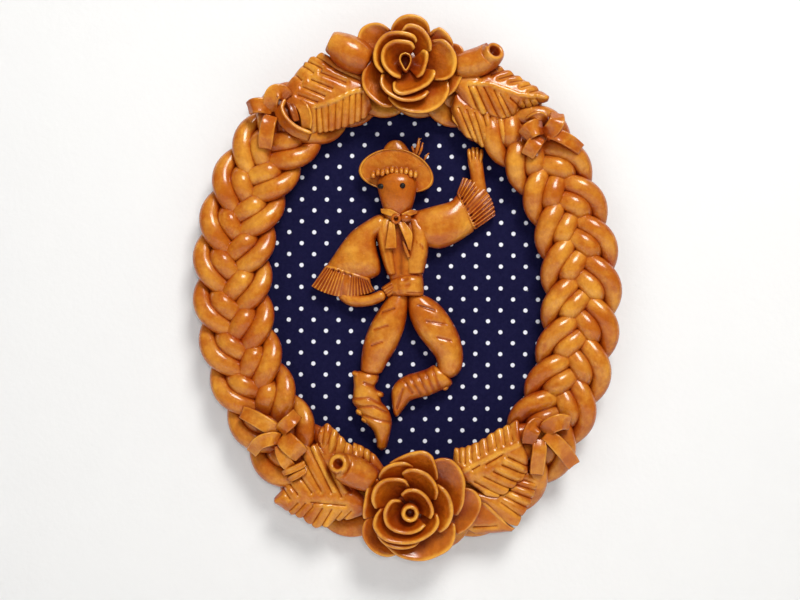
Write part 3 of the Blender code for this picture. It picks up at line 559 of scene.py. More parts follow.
@dataclass(frozen=True)
class DoughFinish:
    """Varnished baked dough: golden brown; painted light pales edges, painted shade reddens flanks and
    hollows.
    """

    # Pale and deep serve as dough colours and as painted light and shade; red as painted shade and patches.
    deep: Colour = (0.120, 0.011, 0.001, 1.0)
    red: Colour = (0.330, 0.042, 0.002, 1.0)
    body: Colour = (0.490, 0.134, 0.005, 1.0)
    pale: Colour = (0.780, 0.400, 0.055, 1.0)
    # Reach of the ambient occlusion that paints shade into hollows, in metres.
    crevice: float = 0.009

    def material(self) -> bpy.types.Material:
        """Build the finish: the tone, large clouds and small mottles choose between three colours.

        The factor is the tone, which holds painted light and shade, plus clouds. Painted shade turns flanks,
        whose normal turns away from the front, and places between near neighbours red-brown, and the tightest
        places dark. Blisters and crumb lift the surface a little, and a clear coat lies over it.

        Returns:
            The material.
        """
        graph = Graph(Slot.DOUGH.value)
        tone = graph.node("ShaderNodeAttribute", {}, attribute_name="tone").outputs["Fac"]
        clouds = graph.span(graph.noise(60.0, 4.0), 0.32, 0.68, -0.32, 0.42)
        mottle = graph.span(graph.noise(420.0, 4.0, 0.6), 0.3, 0.7, -0.16, 0.16)
        factor = graph.math("ADD", graph.math("ADD", tone, clouds), mottle)
        # Painted shade: flanks, whose normal turns away from the front, are reddened.
        normal = graph.node("ShaderNodeSeparateXYZ",
            {0: graph.node("ShaderNodeNewGeometry", {}).outputs["Normal"]})
        flank = graph.span(normal.outputs["Y"], -0.90, -0.20, 0.0, 0.85)
        # Painted shade: ambient occlusion reddens hollows and places between near parts.
        shut = graph.node("ShaderNodeAmbientOcclusion", {"Distance": self.crevice}, samples=8).outputs["AO"]
        painted_hollow_shade = graph.span(shut, 0.90, 0.30, 0.0, 0.9)
        # The factor, holding random tone and painted light on tops and edges, mixes from body to pale.
        colour = graph.mix(graph.span(factor, 0.0, 0.8, 0.0, 1.0), self.body, self.pale)
        patches = graph.span(graph.noise(95.0, 4.0, 0.6), 0.35, 0.7, -0.16, 0.48)
        # Painted shade on flanks and in hollows, plus random red-brown patches, mixes towards red.
        painted_shade = graph.math("ADD", graph.math("MAXIMUM", flank, painted_hollow_shade), patches)
        colour = graph.mix(graph.span(painted_shade, 0.0, 1.0, 0.0, 1.0), colour, self.red)
        # A low factor, from darker parts and painted shade in cuts, cups and mouths, turns deep.
        colour = graph.mix(graph.span(factor, -0.1, -1.1, 0.0, 1.0), colour, self.deep)
        # Painted shade: the tightest hollows turn dark.
        colour = graph.mix(graph.span(shut, 0.5, 0.06, 0.0, 1.0), colour, self.deep)
        rough = graph.span(graph.noise(160.0, 3.0), 0.3, 0.7, 0.34, 0.52)
        crumb = graph.math("MULTIPLY", graph.noise(900.0, 5.0, 0.65), 0.8)
        dents = graph.math("MULTIPLY_ADD", graph.noise(330.0, 3.0), 1.5, crumb)
        lumps = graph.math("MULTIPLY_ADD", graph.noise(130.0, 3.0), 3.6, dents)
        graph.bump(lumps, 0.00040, 0.8)
        graph.shade({
            "Base Color": colour,
            "Roughness": rough,
            "Specular IOR Level": 0.35,
            "Specular Tint": (1.0, 0.72, 0.40, 1.0),
            "Coat Weight": 1.0,
            "Coat Roughness": 0.18,
            "Coat IOR": 1.45,
            "Coat Tint": (1.0, 0.88, 0.66, 1.0),
        })
        return graph.material


@dataclass(frozen=True)
class CottonFinish:
    """Navy cotton with white pin dots on a slanting lattice, in a plain weave."""

    navy: Colour = (0.0058, 0.0056, 0.033, 1.0)
    navy_light: Colour = (0.0100, 0.0092, 0.044, 1.0)
    white: Colour = (0.80, 0.82, 0.90, 1.0)
    dot: tuple[float, float] = (15.9, -5.7)
    across: tuple[float, float] = (12.445, -0.1)
    along: tuple[float, float] = (6.185, -5.515)
    dot_radius: float = 1.03
    thread: float = 0.36

    def _dots(self, graph: Graph) -> bpy.types.NodeSocket:
        """Work out where the dots lie.

        The place less the first dot is split into steps across and along the lattice by the two dual
        vectors. Each step less the nearest whole number, carried back to millimetres, is the way to the
        nearest dot, and its length against the dot's radius gives the mask.

        Args:
            graph: the material's nodes.

        Returns:
            One inside a dot and zero outside, with a soft edge.
        """
        u, w = np.array(self.across), np.array(self.along)
        area = u[0] * w[1] - u[1] * w[0]
        dual_u, dual_w = np.array([w[1], -w[0]]) / area, np.array([-u[1], u[0]]) / area
        frayed = graph.node("ShaderNodeTexNoise", {"Vector": graph.place, "Scale": 2600.0}).outputs["Color"]
        frayed = graph.vector("MULTIPLY", graph.vector("SUBTRACT", frayed, (0.5, 0.5, 0.5)), (2.6e-4,) * 3)
        place = graph.vector("ADD", graph.place, frayed)
        place = graph.vector("SUBTRACT", place, (self.dot[0] * MM, 0.0, self.dot[1] * MM))
        steps = []
        for dual in (dual_u, dual_w):
            reach = graph.vector("DOT_PRODUCT", place, (dual[0] / MM, 0.0, dual[1] / MM), "Value")
            steps.append(graph.math("SUBTRACT", reach, graph.math("ROUND", reach)))
        gaps = []
        for axis in (0, 1):
            gap = graph.math("MULTIPLY", steps[0], float(u[axis]))
            gaps.append(graph.math("MULTIPLY_ADD", steps[1], float(w[axis]), gap))
        away = graph.math("SQRT", graph.math("ADD", *(graph.math("MULTIPLY", gap, gap) for gap in gaps)))
        return graph.span(away, self.dot_radius + 0.13, self.dot_radius - 0.13, 0.0, 1.0)

    def material(self) -> bpy.types.Material:
        """Build the finish: dots over navy, threads as crossed sines, a little lint.

        Returns:
            The material.
        """
        graph = Graph(Slot.COTTON.value)
        split = graph.node("ShaderNodeSeparateXYZ", {0: graph.place})
        pitch = FULL_TURN / (self.thread * MM)
        warp = graph.math("SINE", graph.math("MULTIPLY", split.outputs["X"], pitch))
        weft = graph.math("SINE", graph.math("MULTIPLY", split.outputs["Z"], pitch))
        weave = graph.math("MULTIPLY_ADD", warp, 0.5, graph.math("MULTIPLY", weft, 0.5))
        ground = graph.mix(graph.span(graph.noise(600.0, 4.0, 0.7), 0.35, 0.7, 0.0, 1.0), self.navy,
            self.navy_light)
        speck = graph.node("ShaderNodeTexVoronoi", {"Vector": graph.place, "Scale": 95.0}).outputs["Distance"]
        speck = graph.math("MULTIPLY", graph.span(speck, 0.050, 0.022, 0.0, 1.0),
            graph.span(graph.noise(30.0), 0.55, 0.62, 0.0, 0.6))
        colour = graph.mix(self._dots(graph), ground, self.white)
        colour = graph.mix(speck, colour, (0.45, 0.45, 0.5, 1.0))
        graph.bump(graph.math("ADD", weave, graph.noise(1500.0)), 0.00005, 0.6)
        graph.shade({
            "Base Color": colour,
            "Roughness": graph.span(graph.noise(700.0), 0.3, 0.7, 0.78, 0.95),
            "Specular IOR Level": 0.08,
            "Sheen Weight": 0.02,
            "Sheen Roughness": 0.5,
        })
        return graph.material


@dataclass(frozen=True)
class BoardFinish:
    """Plain brown fibreboard: short pressed fibres and a few dark flecks."""

    light: Colour = (0.235, 0.128, 0.060, 1.0)
    dark: Colour = (0.120, 0.058, 0.026, 1.0)

    def material(self) -> bpy.types.Material:
        """Build the finish: two cloudy patterns mix the browns, and the finer one lifts the fibres.

        Returns:
            The material.
        """
        graph = Graph(Slot.BOARD.value)
        fibres = graph.noise(1300.0, 6.0, 0.75)
        clouds = graph.noise(40.0, 3.0)
        factor = graph.math("ADD", graph.span(fibres, 0.3, 0.7, -0.4, 0.4),
            graph.span(clouds, 0.3, 0.7, 0.3, 0.7))
        graph.bump(fibres, 0.0002, 0.6)
        graph.shade({
            "Base Color": graph.mix(factor, self.light, self.dark),
            "Roughness": graph.span(clouds, 0.3, 0.7, 0.72, 0.88),
            "Specular IOR Level": 0.3,
        })
        return graph.material


@dataclass(frozen=True)
class BeadFinish:
    """Black bead, slightly scuffed."""

    black: Colour = (0.006, 0.005, 0.005, 1.0)
    worn: Colour = (0.020, 0.014, 0.011, 1.0)

    def material(self) -> bpy.types.Material:
        """Build the finish: a fine cloud mixes the blacks and roughens the gloss.

        Returns:
            The material.
        """
        graph = Graph(Slot.BEAD.value)
        scuff = graph.noise(1800.0, 3.0)
        graph.bump(scuff, 0.00004, 0.4)
        graph.shade({
            "Base Color": graph.mix(scuff, self.black, self.worn),
            "Roughness": graph.span(scuff, 0.3, 0.7, 0.30, 0.45),
            "Specular IOR Level": 0.2,
        })
        return graph.material


@dataclass(frozen=True)
class Oval:
    """The egg that everything follows: two half ellipses that share their width, leaning a little."""

    half_width: float = 85.6
    top: float = 104.3
    bottom: float = 110.8
    lean: float = 0.077

    def at(self, angle: Array, margin: float | Array = 0.0) -> Array:
        """Return points of the egg.

        A point is the width times the angle's cosine and the height times its sine, moved out along the
        ellipse's own normal by the margin and then turned by the lean.

        Args:
            angle: bearings in radians.
            margin: distance outside the line.

        Returns:
            Points (..., 2) on the plaque.
        """
        angle = np.asarray(angle, float)
        tall = np.where(np.sin(angle) > 0, self.top, self.bottom)
        flat = np.stack([self.half_width * np.cos(angle), tall * np.sin(angle)], axis=-1)
        away = unit(np.stack([tall * np.cos(angle), self.half_width * np.sin(angle)], axis=-1))
        flat = flat + np.asarray(margin)[..., None] * away
        turn = np.array([[math.cos(self.lean), math.sin(self.lean)],
                [-math.sin(self.lean), math.cos(self.lean)]])
        return flat @ turn

    def area(self, margin: float) -> float:
        """Return the area inside the line at a margin: half the sum of the cross products of its corners."""
        x, z = self.at(np.linspace(0.0, FULL_TURN, 721), margin).T
        return float(abs(np.sum(x[:-1] * z[1:] - x[1:] * z[:-1])) / 2)


@dataclass
class BraidedFrame:
    """The frame: three strands of two ropes each, plaited as two ropes that go three times round."""

    oval: Oval
    bulges: int = 31
    first_bulge: float = 8.9
    lag: float = 3.9
    swing: float = 11.0
    rise: float = 3.1
    middle: float = 8.6
    width: float = 9.2
    height: float = 7.4
    spacing: float = 8.3
    pressed: float = 0.55
    covered: tuple[tuple[float, float], ...] = ((60.0, 116.0), (240.0, 297.0))
    fade: float = 9.0
    rings: int = 1860
    sides: int = 22

    def _press(self, degrees: Array) -> Array:
        """Return the height scale at a bearing: one where the braid shows, less where flowers press on it."""
        scale = np.ones_like(degrees)
        for start, end in self.covered:
            depth = np.clip(np.minimum(degrees - start, end - degrees) / self.fade + 1.0, 0.0, 1.0)
            scale -= (1.0 - self.pressed) * depth**2 * (3 - 2 * depth)
        return scale

    def _rope(self, clay: Clay, side: int) -> None:
        """Lay one rope of the pair.

        Along the way its strand swings across the frame as a sine of a third of the bulges passed, and
        rises and falls as the sine of twice that. The rope lies half the spacing beside its strand. It
        swells and parts from its fellow where it comes up, thins and closes up where it dives, and changes
        softly at random.

        Args:
            clay: where the surface goes.
            side: -1 for the inner rope and 1 for the outer one.
        """
        angle = np.linspace(0.0, FULL_TURN, 4001)
        line = self.oval.at(angle)
        walked = np.concatenate([[0.0], np.cumsum(np.linalg.norm(np.diff(line, axis=0), axis=1))])
        lap = walked[-1]
        way = np.linspace(0.0, 3 * lap, self.rings, endpoint=False)
        bearing = np.interp(way % lap, walked, angle)
        centre = self.oval.at(bearing)
        outward = self.oval.at(bearing, 1.0) - centre
        late = self.lag * (1 - np.cos(FULL_TURN * way / lap))
        phase = FULL_TURN * (way - self.first_bulge + late) * self.bulges / lap / 3 + math.pi / 2
        drift = Wobble(11 + side, 6, 0.35)
        around = 3 * lap / FULL_TURN
        ring = np.stack([np.cos(way / around), np.sin(way / around)]) * around / 3
        loose = drift.at(ring[0], ring[1])
        flat = centre + outward * (self.swing * np.sin(phase) + 0.25 * loose)[:, None]
        press = self._press(np.degrees(bearing))
        lift = -np.sin(2 * phase)
        path = np.column_stack([flat, (self.middle + self.rise * lift + 0.25 * loose) * press])
        along = unit(np.roll(path, -1, axis=0) - np.roll(path, 1, axis=0))
        beside = unit(np.cross(along, (0.0, 0.0, 1.0)))
        path = path + beside * side * self.spacing / 2 * (1.0 + 0.08 * lift)[:, None]
        swell = 1.0 + 0.12 * lift + 0.035 * loose
        # The rope's top is painted paler as lit and its underside darker.
        clay.tube(
            path, self.width / 2 * swell, self.height / 2 * press * swell, self.sides, 2.15, loop=True,
            painted_top_light=0.24
        )

    def build(self, material: bpy.types.Material) -> None:
        """Lay both ropes and install the frame."""
        clay = Clay()
        for side in (-1, 1):
            self._rope(clay, side)
        install(clay.piece("braid_dressed", material), "braided_frame")


@dataclass
class Petal:
    """One petal: points (x, z) along its rim, the rim's height, and how near the heart its root lies."""

    rim: Sequence[tuple[float, float]]
    top: float
    root: float = 0.42
    thickness: float = 1.9
    curl: float = 1.0

    def add(self, clay: Clay, heart: tuple[float, float], foot: float, seed: int) -> None:
        """Add the petal to a rose.

        The root is the rim drawn in to the heart by the root's share. From root to rim a point moves out as
        one less a power of what is left, so that the petal cups, and rises as a power of the share. The last
        sixth turns outwards by the curl. At both ends the rim falls and draws in with a power of the share.

        Args:
            clay: where the surface goes.
            heart: the middle of the rose.
            foot: height at which petals start.
            seed: number for the rim's soft waves.
        """
        u, v = np.linspace(0.0, 1.0, 60), cosine_steps(24)
        centre = np.array(heart)
        line = smooth(np.asarray(self.rim, float), u)
        ends = np.abs(2 * u - 1) ** 6
        outward = unit(line - centre)
        ripple = Wobble(seed, 4, 4.5).at(u[:, None] + 0 * v, 0.3 * v + 0 * u[:, None])
        line = line - outward * (self.curl + 1.0 * ends)[:, None]
        root = centre + (line - centre) * self.root
        turn_out = np.clip((v - 0.84) / 0.16, 0.0, 1.0) ** 2
        cup = (1 - (1 - v) ** 1.5)[None, :, None]
        flat = root[:, None] * (1 - cup) + line[:, None] * cup
        flat = flat + outward[:, None] * (self.curl * turn_out + 0.3 * ripple * v**2)[..., None]
        low = foot + 0.46 * (self.top - foot)
        top = (self.top - 0.5 - 0.16 * (self.top - foot) * ends)[:, None]
        height = low + (top - low) * v**1.15 - 0.3 * self.curl * turn_out + 0.25 * ripple * v**2
        edge = round_off(u, 0.03, 0.03)[:, None] * round_off(v, 0.05, 0.06)
        # Painted light along the rim, and painted shade deepening down the cup to the root; the ripple adds
        # random tone.
        rim_light = np.clip((v - 0.87) / 0.08, 0.0, 1.0)
        tone = 0.65 * rim_light - 0.95 * (1 - v) ** 1.3 + 0.05 + 0.2 * ripple
        clay.sheet(np.concatenate([flat, height[..., None]], axis=-1), self.thickness / 2 * edge, tone)


@dataclass
class Rose:
    """A rose of separate petals pressed round a core that is a rolled strip."""

    name: str
    heart: tuple[float, float]
    petals: Sequence[Petal]
    core: Sequence[tuple[float, float]]
    core_top: float
    core_wall: float
    core_tone: float
    foot: float = 11.4

    def build(self, material: bpy.types.Material) -> None:
        """Press the petals round the core, on a low mound, and install the rose.

        The core is a tall loop through its points about the heart, closed below by a plug.
        """
        clay = Clay()
        low, high = (*self.heart, self.foot), (*self.heart, self.foot + 7.6)
        # The third column is tone: the mound and plug are painted dark as shade deep in the rose.
        mound = [(0.01, 0, -0.6), (12, 0, -0.6), (17, 0.33, -0.6), (14, 0.6, -0.7), (8.5, 0.9, -0.7),
            (4, 1, -0.7)]
        clay.turned([low, high], np.array([*mound, (0.01, 1, -0.8)]))
        outline = np.array([*self.core, self.core[0]]) + np.array(self.heart)
        loop = smooth(outline, np.linspace(0.0, 1.0, 64, endpoint=False))
        path = np.column_stack([loop, np.full(64, self.core_top - 3.2)])
        # The core's top is painted paler as lit and its underside darker.
        clay.tube(path, self.core_wall / 2, 3.2, 20, 2.2, loop=True, tone=self.core_tone, painted_top_light=0.3)
        reach = float(np.linalg.norm(np.array(self.core), axis=1).mean())
        plug = [(0.01, 0, -0.3), (reach * 1.7, 0, -0.6), (reach * 1.2, 0.7, -0.5), (reach, 1, -1),
            (0.01, 1, -1.2)]
        clay.turned([low, (*self.heart, self.core_top - 5.0)], np.array(plug))
        for number, petal in enumerate(self.petals):
            petal.add(clay, self.heart, self.foot, 40 + number + len(self.petals))
        install(clay.piece(self.name + "_dressed", material), self.name)


@dataclass
class Bud:
    """A rolled bud along a bent axis, with the share of its radius that its open mouth has."""

    name: str
    axis: Sequence[tuple[float, float, float]]
    radius: float
    mouth: float

    def build(self, material: bpy.types.Material) -> None:
        """Turn the bud, with the wrapped petal's edge as a step that winds along it, and install it."""
        lip = self.mouth
        # The third column is tone: painted light pales the lip, painted shade darkens the mouth.
        shares = [(0.01, 0.0, 0), (0.78, 0.02, 0), (1.0, 0.28, 0.05), (0.97, 0.55, 0.1),
            (lip + 0.2, 0.82, 0.2)]
        shares += [(lip + 0.08, 0.95, 0.45), (lip - 0.04, 1.0, 0.6), (lip - 0.2, 0.98, 0.3),
            (lip - 0.3, 0.88, -0.7), (0.01, 0.72, -1)]
        profile = smooth(np.array(shares) * (self.radius, 20.0, 1.0), np.linspace(0.0, 1.0, 60))
        profile[:, 0] = np.maximum(profile[:, 0], 0.01)
        profile[:, 1] /= 20.0

        def wrapped(place: Array) -> Array:
            """Scale the radius: a ramp once round that steps back at a line that winds along the bud."""
            share = np.clip(place[..., 1] * 1.3, 0.0, 1.0)
            ramp = (place[..., 0] / FULL_TURN + 0.55 * share + 0.1) % 1.0
            return (
                1.0 + 0.22 * (ramp - 0.5) * np.sin(math.pi * share) ** 0.5
                - 0.05 * np.exp(-((ramp / 0.05) ** 2))
            )

        clay = Clay()
        clay.turned(self.axis, profile, 96, shape=wrapped)
        install(clay.piece(self.name + "_dressed", material), self.name)


@dataclass
class Blade:
    """A leaf's blade between two edge lines, with knife cuts, raised veins and a toothed rim."""

    upper: Sequence[tuple[float, float]]
    lower: Sequence[tuple[float, float]]
    cuts: Sequence[tuple[float, float, float, float]]
    veins: Sequence[tuple[float, float, float, float]]
    lift: float
    arch: float = 1.8
    sag: tuple[float, float] = (3.5, 3.5)
    width: float = 0.5
    depth: float = 1.5
    rounding: float = 1.0
    tooth: float = 1.3
    thickness: float = 1.9
    fineness: float = 2.6

    def add(self, clay: Clay) -> None:
        """Add the blade.

        A point lies between the same shares of both edge lines. Its height is the lift plus the arch times a
        sine along the leaf, less the sag times the square of the way to the edge. A cut is a narrow bell in
        a wider, shallower one, so that the dough between two cuts rounds up, with painted light beside the
        cut.
        Where a cut reaches the rim it draws the rim in, which leaves teeth.

        Args:
            clay: where the surface goes.
        """
        upper, lower = np.asarray(self.upper, float), np.asarray(self.lower, float)
        length = np.linalg.norm(np.diff(upper, axis=0), axis=1).sum()
        u = np.linspace(0.0, 1.0, int(length * self.fineness))[:, None]
        first, second = along_line(upper, u[:, 0]), along_line(lower, u[:, 0])
        span = np.linalg.norm(first - second, axis=1).max()
        v = cosine_steps(int(span * self.fineness))[None, :]
        flat = first[:, None] * (1 - v[..., None]) + second[:, None] * v[..., None]
        side = 2 * v - 1
        cut = -Cuts(self.cuts, self.width, 1.0)(flat)
        flank = -Cuts(self.cuts, 2.6 * self.width, 1.0)(flat)
        vein = -Cuts(self.veins, 0.7, 1.0)(flat)
        inward = (first + second)[:, None] / 2 - flat
        flat = flat + unit(inward) * (self.tooth * flank * np.abs(side) ** 9)[..., None]
        sag = np.where(side < 0, self.sag[0], self.sag[1])
        height = self.lift + self.arch * np.sin(math.pi * u) ** 0.7 - sag * side**2
        height = height - self.depth * cut - self.rounding * flank + 0.6 * vein
        # Painted shade darkens the cuts; painted light pales the dough beside them, the raised veins and the
        # rim.
        tone = 0.05 + 0.95 * flank - 3.2 * cut + 0.6 * vein + 0.4 * side**8
        edge = round_off(u, 0.02, 0.02) * round_off(v, 0.035, 0.035)
        clay.sheet(np.concatenate([flat, height[..., None]], axis=-1), self.thickness / 2 * edge, tone)


@dataclass
class Leaf:
    """A leaf of one or more blades."""

    name: str
    blades: Sequence[Blade]

    def build(self, material: bpy.types.Material) -> None:
        """Add every blade and install the leaf."""
        clay = Clay()
        for blade in self.blades:
            blade.add(clay)
        install(clay.piece(self.name + "_dressed", material), self.name)


@dataclass
class Ribbon:
    """A flat strip of dough along a few points, with its width and how far it stands on edge, in degrees."""

    points: Sequence[tuple[float, float, float]]
    width: float
    stand: float = 0.0
    thickness: float = 1.7
    tone: float = 0.02

    def add(self, clay: Clay, seed: int) -> None:
        """Add the strip.

        A point is the path plus the side direction times half the width times the share across, less a
        hollow of one less the square of that share. Stand turns both directions about the path.

        Args:
            clay: where the surface goes.
            seed: number for the soft change of width.
        """
        share, v = np.linspace(0.0, 1.0, 44), 2 * cosine_steps(17) - 1
        path = smooth(np.asarray(self.points), share)
        along = unit(np.gradient(path, axis=0))
        flat_side = unit(np.cross(along, (0.0, 0.0, 1.0)))
        flat_rise = np.cross(flat_side, along)
        turn = math.radians(self.stand)
        side = flat_side * math.cos(turn) + flat_rise * math.sin(turn)
        rise = flat_rise * math.cos(turn) - flat_side * math.sin(turn)
        half = (
            self.width / 2 * (1 + 0.05 * Wobble(seed, 3, 5.0).at(share))
            * (0.8 + 0.2 * np.sin(math.pi * share) ** 0.5)
        )
        middle = path[:, None] + side[:, None] * (half[:, None] * v)[..., None]
        middle = middle - rise[:, None] * (0.45 * (1 - v**2))[None, :, None]
        edge = round_off(share, 0.04, 0.04)[:, None] * round_off((v + 1) / 2, 0.09, 0.09)
        # Painted light along both edges and at both ends.
        tone = (
            self.tone + 0.42 * np.clip((np.abs(v) - 0.8) / 0.15, 0.0, 1.0)
            + 0.3 * np.abs(2 * share - 1)[:, None] ** 12
        )
        clay.sheet(middle, self.thickness / 2 * edge, tone)


@dataclass
class Bow:
    """A bow of flat strips: loops and tails out of one sunken middle."""

    name: str
    ribbons: Sequence[Ribbon]

    def build(self, material: bpy.types.Material) -> None:
        """Add every strip and install the bow."""
        clay = Clay()
        for number, ribbon in enumerate(self.ribbons):
            ribbon.add(clay, 70 + number)
        install(clay.piece(self.name + "_dressed", material), self.name)


@dataclass
class Dancer:
    """The figure in relief: hat, head, scarf, vest, bell sleeves, belt, trousers and wrapped boots."""

    brim_middle: tuple[float, float] = (-4.8, 57.6)
    brim_size: tuple[float, float] = (18.6, 10.6)
    brim_lean: float = -9.0
    clay: Clay = field(default_factory=Clay)

    def _hat(self) -> None:
        """Add brim, crown, fringe of curls and feathers.

        The brim is a disc: width and height shares of its sizes times cosine and sine, drooping with the
        square of the distance to the side, with a rolled rim as a bell near its edge.
        """
        angle = np.linspace(0.0, FULL_TURN, 120, endpoint=False)
        share = np.concatenate([np.linspace(0.05, 0.85, 16),
                0.85 + 0.15 * np.sin(np.linspace(0.1, 1.57, 9))])[:, None]
        wide = self.brim_size[0] * share * np.cos(angle)
        tall = self.brim_size[1] * share * np.sin(angle)
        droop = 0.006 * wide**2
        lean = math.radians(self.brim_lean)
        x = self.brim_middle[0] + wide * math.cos(lean) - (tall - droop) * math.sin(lean)
        z = self.brim_middle[1] + wide * math.sin(lean) + (tall - droop) * math.cos(lean)
        rim = np.exp(-(((share - 0.96) / 0.035) ** 2))
        h = 7.6 + 0.06 * tall + 1.0 * rim - 0.10 * np.maximum(0.0, wide - 13.0) ** 1.3
        front = np.stack([x, z, h], axis=-1)
        back = front[::-1].copy()
        back[..., 2] -= 2.0 * np.sqrt(np.clip(1.0 - share[::-1] ** 8, 0.0, 1.0))
        # Painted light on the rolled rim, and painted shade on the underside of the brim.
        tone = np.concatenate([0.05 + 0.55 * rim + 0 * wide, 0 * wide - 0.2])
        self.clay.skin(np.concatenate([front, back]), tone)
        crown = [
            (-15.0, 61.0, 4.5, 61.0, 6.6),
            (-12.2, 67.5, 1.6, 67.5, 6.6),
            (-9.6, 71.6, -1.4, 71.8, 5.8),
            (-7.2, 73.4, -3.8, 73.4, 5.0),
        ]
        self.clay.loft(crown, 40, 40, 2.2, (0.1, 0.16))
        for curl in range(10):
            x = -16.4 + 2.3 * curl
            top = 58.6 - 0.02 * (x + 6) ** 2 + 0.45 * math.sin(2.1 * curl)
            slant = 0.35 * math.sin(3.7 * curl)
            points = [(x, top, 9.4), (x + 0.3 * slant, top - 1.5, 11.9), (x - slant, top - 3.4, 12.6)]
            self.clay.limb(points, [1.1, 1.25, 1.0], [1.2, 1.3, 1.1], 12, 12, tone=0.12)
        feathers = [
            ((4.4, 65.5, 5.0), (5.6, 69.5, 5.6), (6.2, 74.0, 5.2), 1.3),
            ((5.8, 65.0, 5.0), (7.4, 68.6, 5.6), (7.9, 71.8, 5.0), 0.9),
            ((3.6, 66.0, 5.0), (3.2, 68.0, 5.4), (2.4, 69.8, 5.2), 0.8),
            ((8.4, 62.4, 5.0), (9.6, 64.6, 5.6), (10.8, 66.4, 5.2), 0.8),
        ]
        for foot, bend, tip, half in feathers:
            self.clay.limb([foot, bend, tip], [half * 0.6, half * 0.75, half * 0.3], [0.8, 0.75, 0.4], 30, 14)
            for notch in range(4):
                share = 0.3 + 0.18 * notch
                base = np.array(foot) + share * (np.array(tip) - np.array(foot))
                barb = base + np.array([half * 1.1, half * 0.9, 0.1])
                self.clay.limb([tuple(base), tuple(barb)], [0.32, 0.22], [0.4, 0.25], 8, 8, tone=0.2)

    def _head(self) -> None:
        """Add the egg of a head, narrowing into the neck."""
        points = [(-4.6, 58.5, 7.4), (-4.6, 51, 8.0), (-4.5, 44, 7.8), (-4.7, 37.5, 6.8), (-4.9, 30, 6.0)]
        self.clay.limb(points, [8.4, 9.9, 8.7, 6.9, 6.2], [5.8, 6.8, 6.2, 5.2, 4.6], 54, 44, tone=-0.3)

    def _torso(self) -> None:
        """Add the shirt front, the two vest panels, the scarf with its tails, and the belt."""
        shirt = [
            (-11.0, 36.0, 4.5, 37.0, 8.6),
            (-14.0, 30.0, 9.0, 30.5, 10.4),
            (-13.0, 19.0, 10.2, 18.5, 11.0),
            (-9.2, 7.0, 8.2, 6.0, 10.4),
            (-6.5, -3.5, 8.4, -4.0, 9.0),
        ]
        seams = Cuts([(-2.7, 26.0, -2.6, 7.0)], 1.0, 0.7)
        self.clay.loft(shirt, 54, 66, 2.4, (0.08, 0.06), relief=[seams], tone=-0.15)
        left_panel = [
            (-12.6, 34.6, -6.4, 35.6, 10.0),
            (-14.8, 27.5, -6.9, 27.0, 11.7),
            (-12.9, 16.0, -5.6, 16.0, 12.1),
            (-9.3, 5.2, -4.4, 5.6, 11.2),
        ]
        fold = Cuts([(-12.6, 31.5, -8.2, 10.0)], 0.8, 0.3)
        self.clay.loft(left_panel, 46, 50, 2.5, (0.08, 0.05), relief=[fold], tone=0.15)
        right_panel = [
            (-1.2, 35.6, 7.2, 34.6, 10.0),
            (1.4, 27.5, 10.6, 26.6, 11.8),
            (-0.9, 17.0, 10.7, 17.6, 12.2),
            (-0.9, 5.4, 8.4, 5.8, 11.2),
        ]
        marks = [(4.8, 21.8, 4.9, 21.5), (6.6, 21.2, 6.8, 20.2), (7.6, 20.4, 7.9, 19.0)]
        self.clay.loft(right_panel, 46, 50, 2.5, (0.08, 0.05), relief=[Cuts(marks, 0.45, 0.8)], tone=0.15)
        self._strip([(-8.6, 32.2), (-9.6, 25.5), (-10.6, 18.6)], [(-6.0, 32.2), (-5.1, 25.5), (-4.7, 18.8)],
            (12.8, 13.9, 13.8))
        self._strip([(-4.6, 32.2), (-1.2, 24.0), (1.0, 18.2)], [(-1.2, 32.4), (2.8, 26.0), (2.0, 17.6)],
            (12.8, 13.9, 13.6))
        self._strip([(-2.1, 22.5), (-1.0, 18.0), (0.6, 14.2)], [(-1.2, 22.5), (0.3, 18.4), (1.7, 14.8)],
            (12.0, 13.2, 12.8))
        self._strip([(-12.8, 38.6), (-8.0, 38.2), (-3.2, 35.6)], [(-12.4, 36.4), (-8.8, 34.8), (-4.8, 33.6)],
            (9.6, 12.2, 13.2))
        self._strip([(5.4, 37.6), (1.8, 37.8), (-2.6, 35.8)], [(5.0, 36.0), (1.2, 34.6), (-1.8, 33.6)],
            (9.6, 12.2, 13.2))
        ring = np.linspace(0.0, FULL_TURN, 48, endpoint=False)
        knot = np.column_stack([-5.2 + 1.75 * np.cos(ring), 33.3 + 1.85 * np.sin(ring),
                13.2 + 0.2 * np.cos(ring)])
        self.clay.tube(knot, 0.85, 1.2, 16, loop=True, tone=-0.7)
        self.clay.limb([(-3.0, 33.2, 11.8), (-0.4, 33.6, 12.6), (2.2, 33.0, 11.4)], [1.8, 2.1, 1.4],
            [1.9, 2.0, 1.5], tone=-0.7)
        belt = [
            (-9.4, -3.6, -8.6, 3.4, 9.4),
            (-4.0, -4.4, -4.4, 5.2, 12.4),
            (2.0, -4.4, 2.0, 6.4, 13.2),
            (6.4, -4.6, 6.0, 6.0, 12.0),
            (8.9, -4.0, 8.5, 5.4, 9.0),
        ]
        ovals = [(-1.4, 3.6, 0.2, 4.2), (-0.3, 0.6, 1.3, 1.2)]
        hem = [(0.4, -2.9, 9.0, -2.9), (-4.2, 5.0, -4.0, -2.8)]
        self.clay.loft(belt, 50, 62, 3.4, (0.07, 0.07), relief=[Cuts(ovals, 0.75, 0.8), Cuts(hem, 0.4, 0.4)],
            tone=0.05)

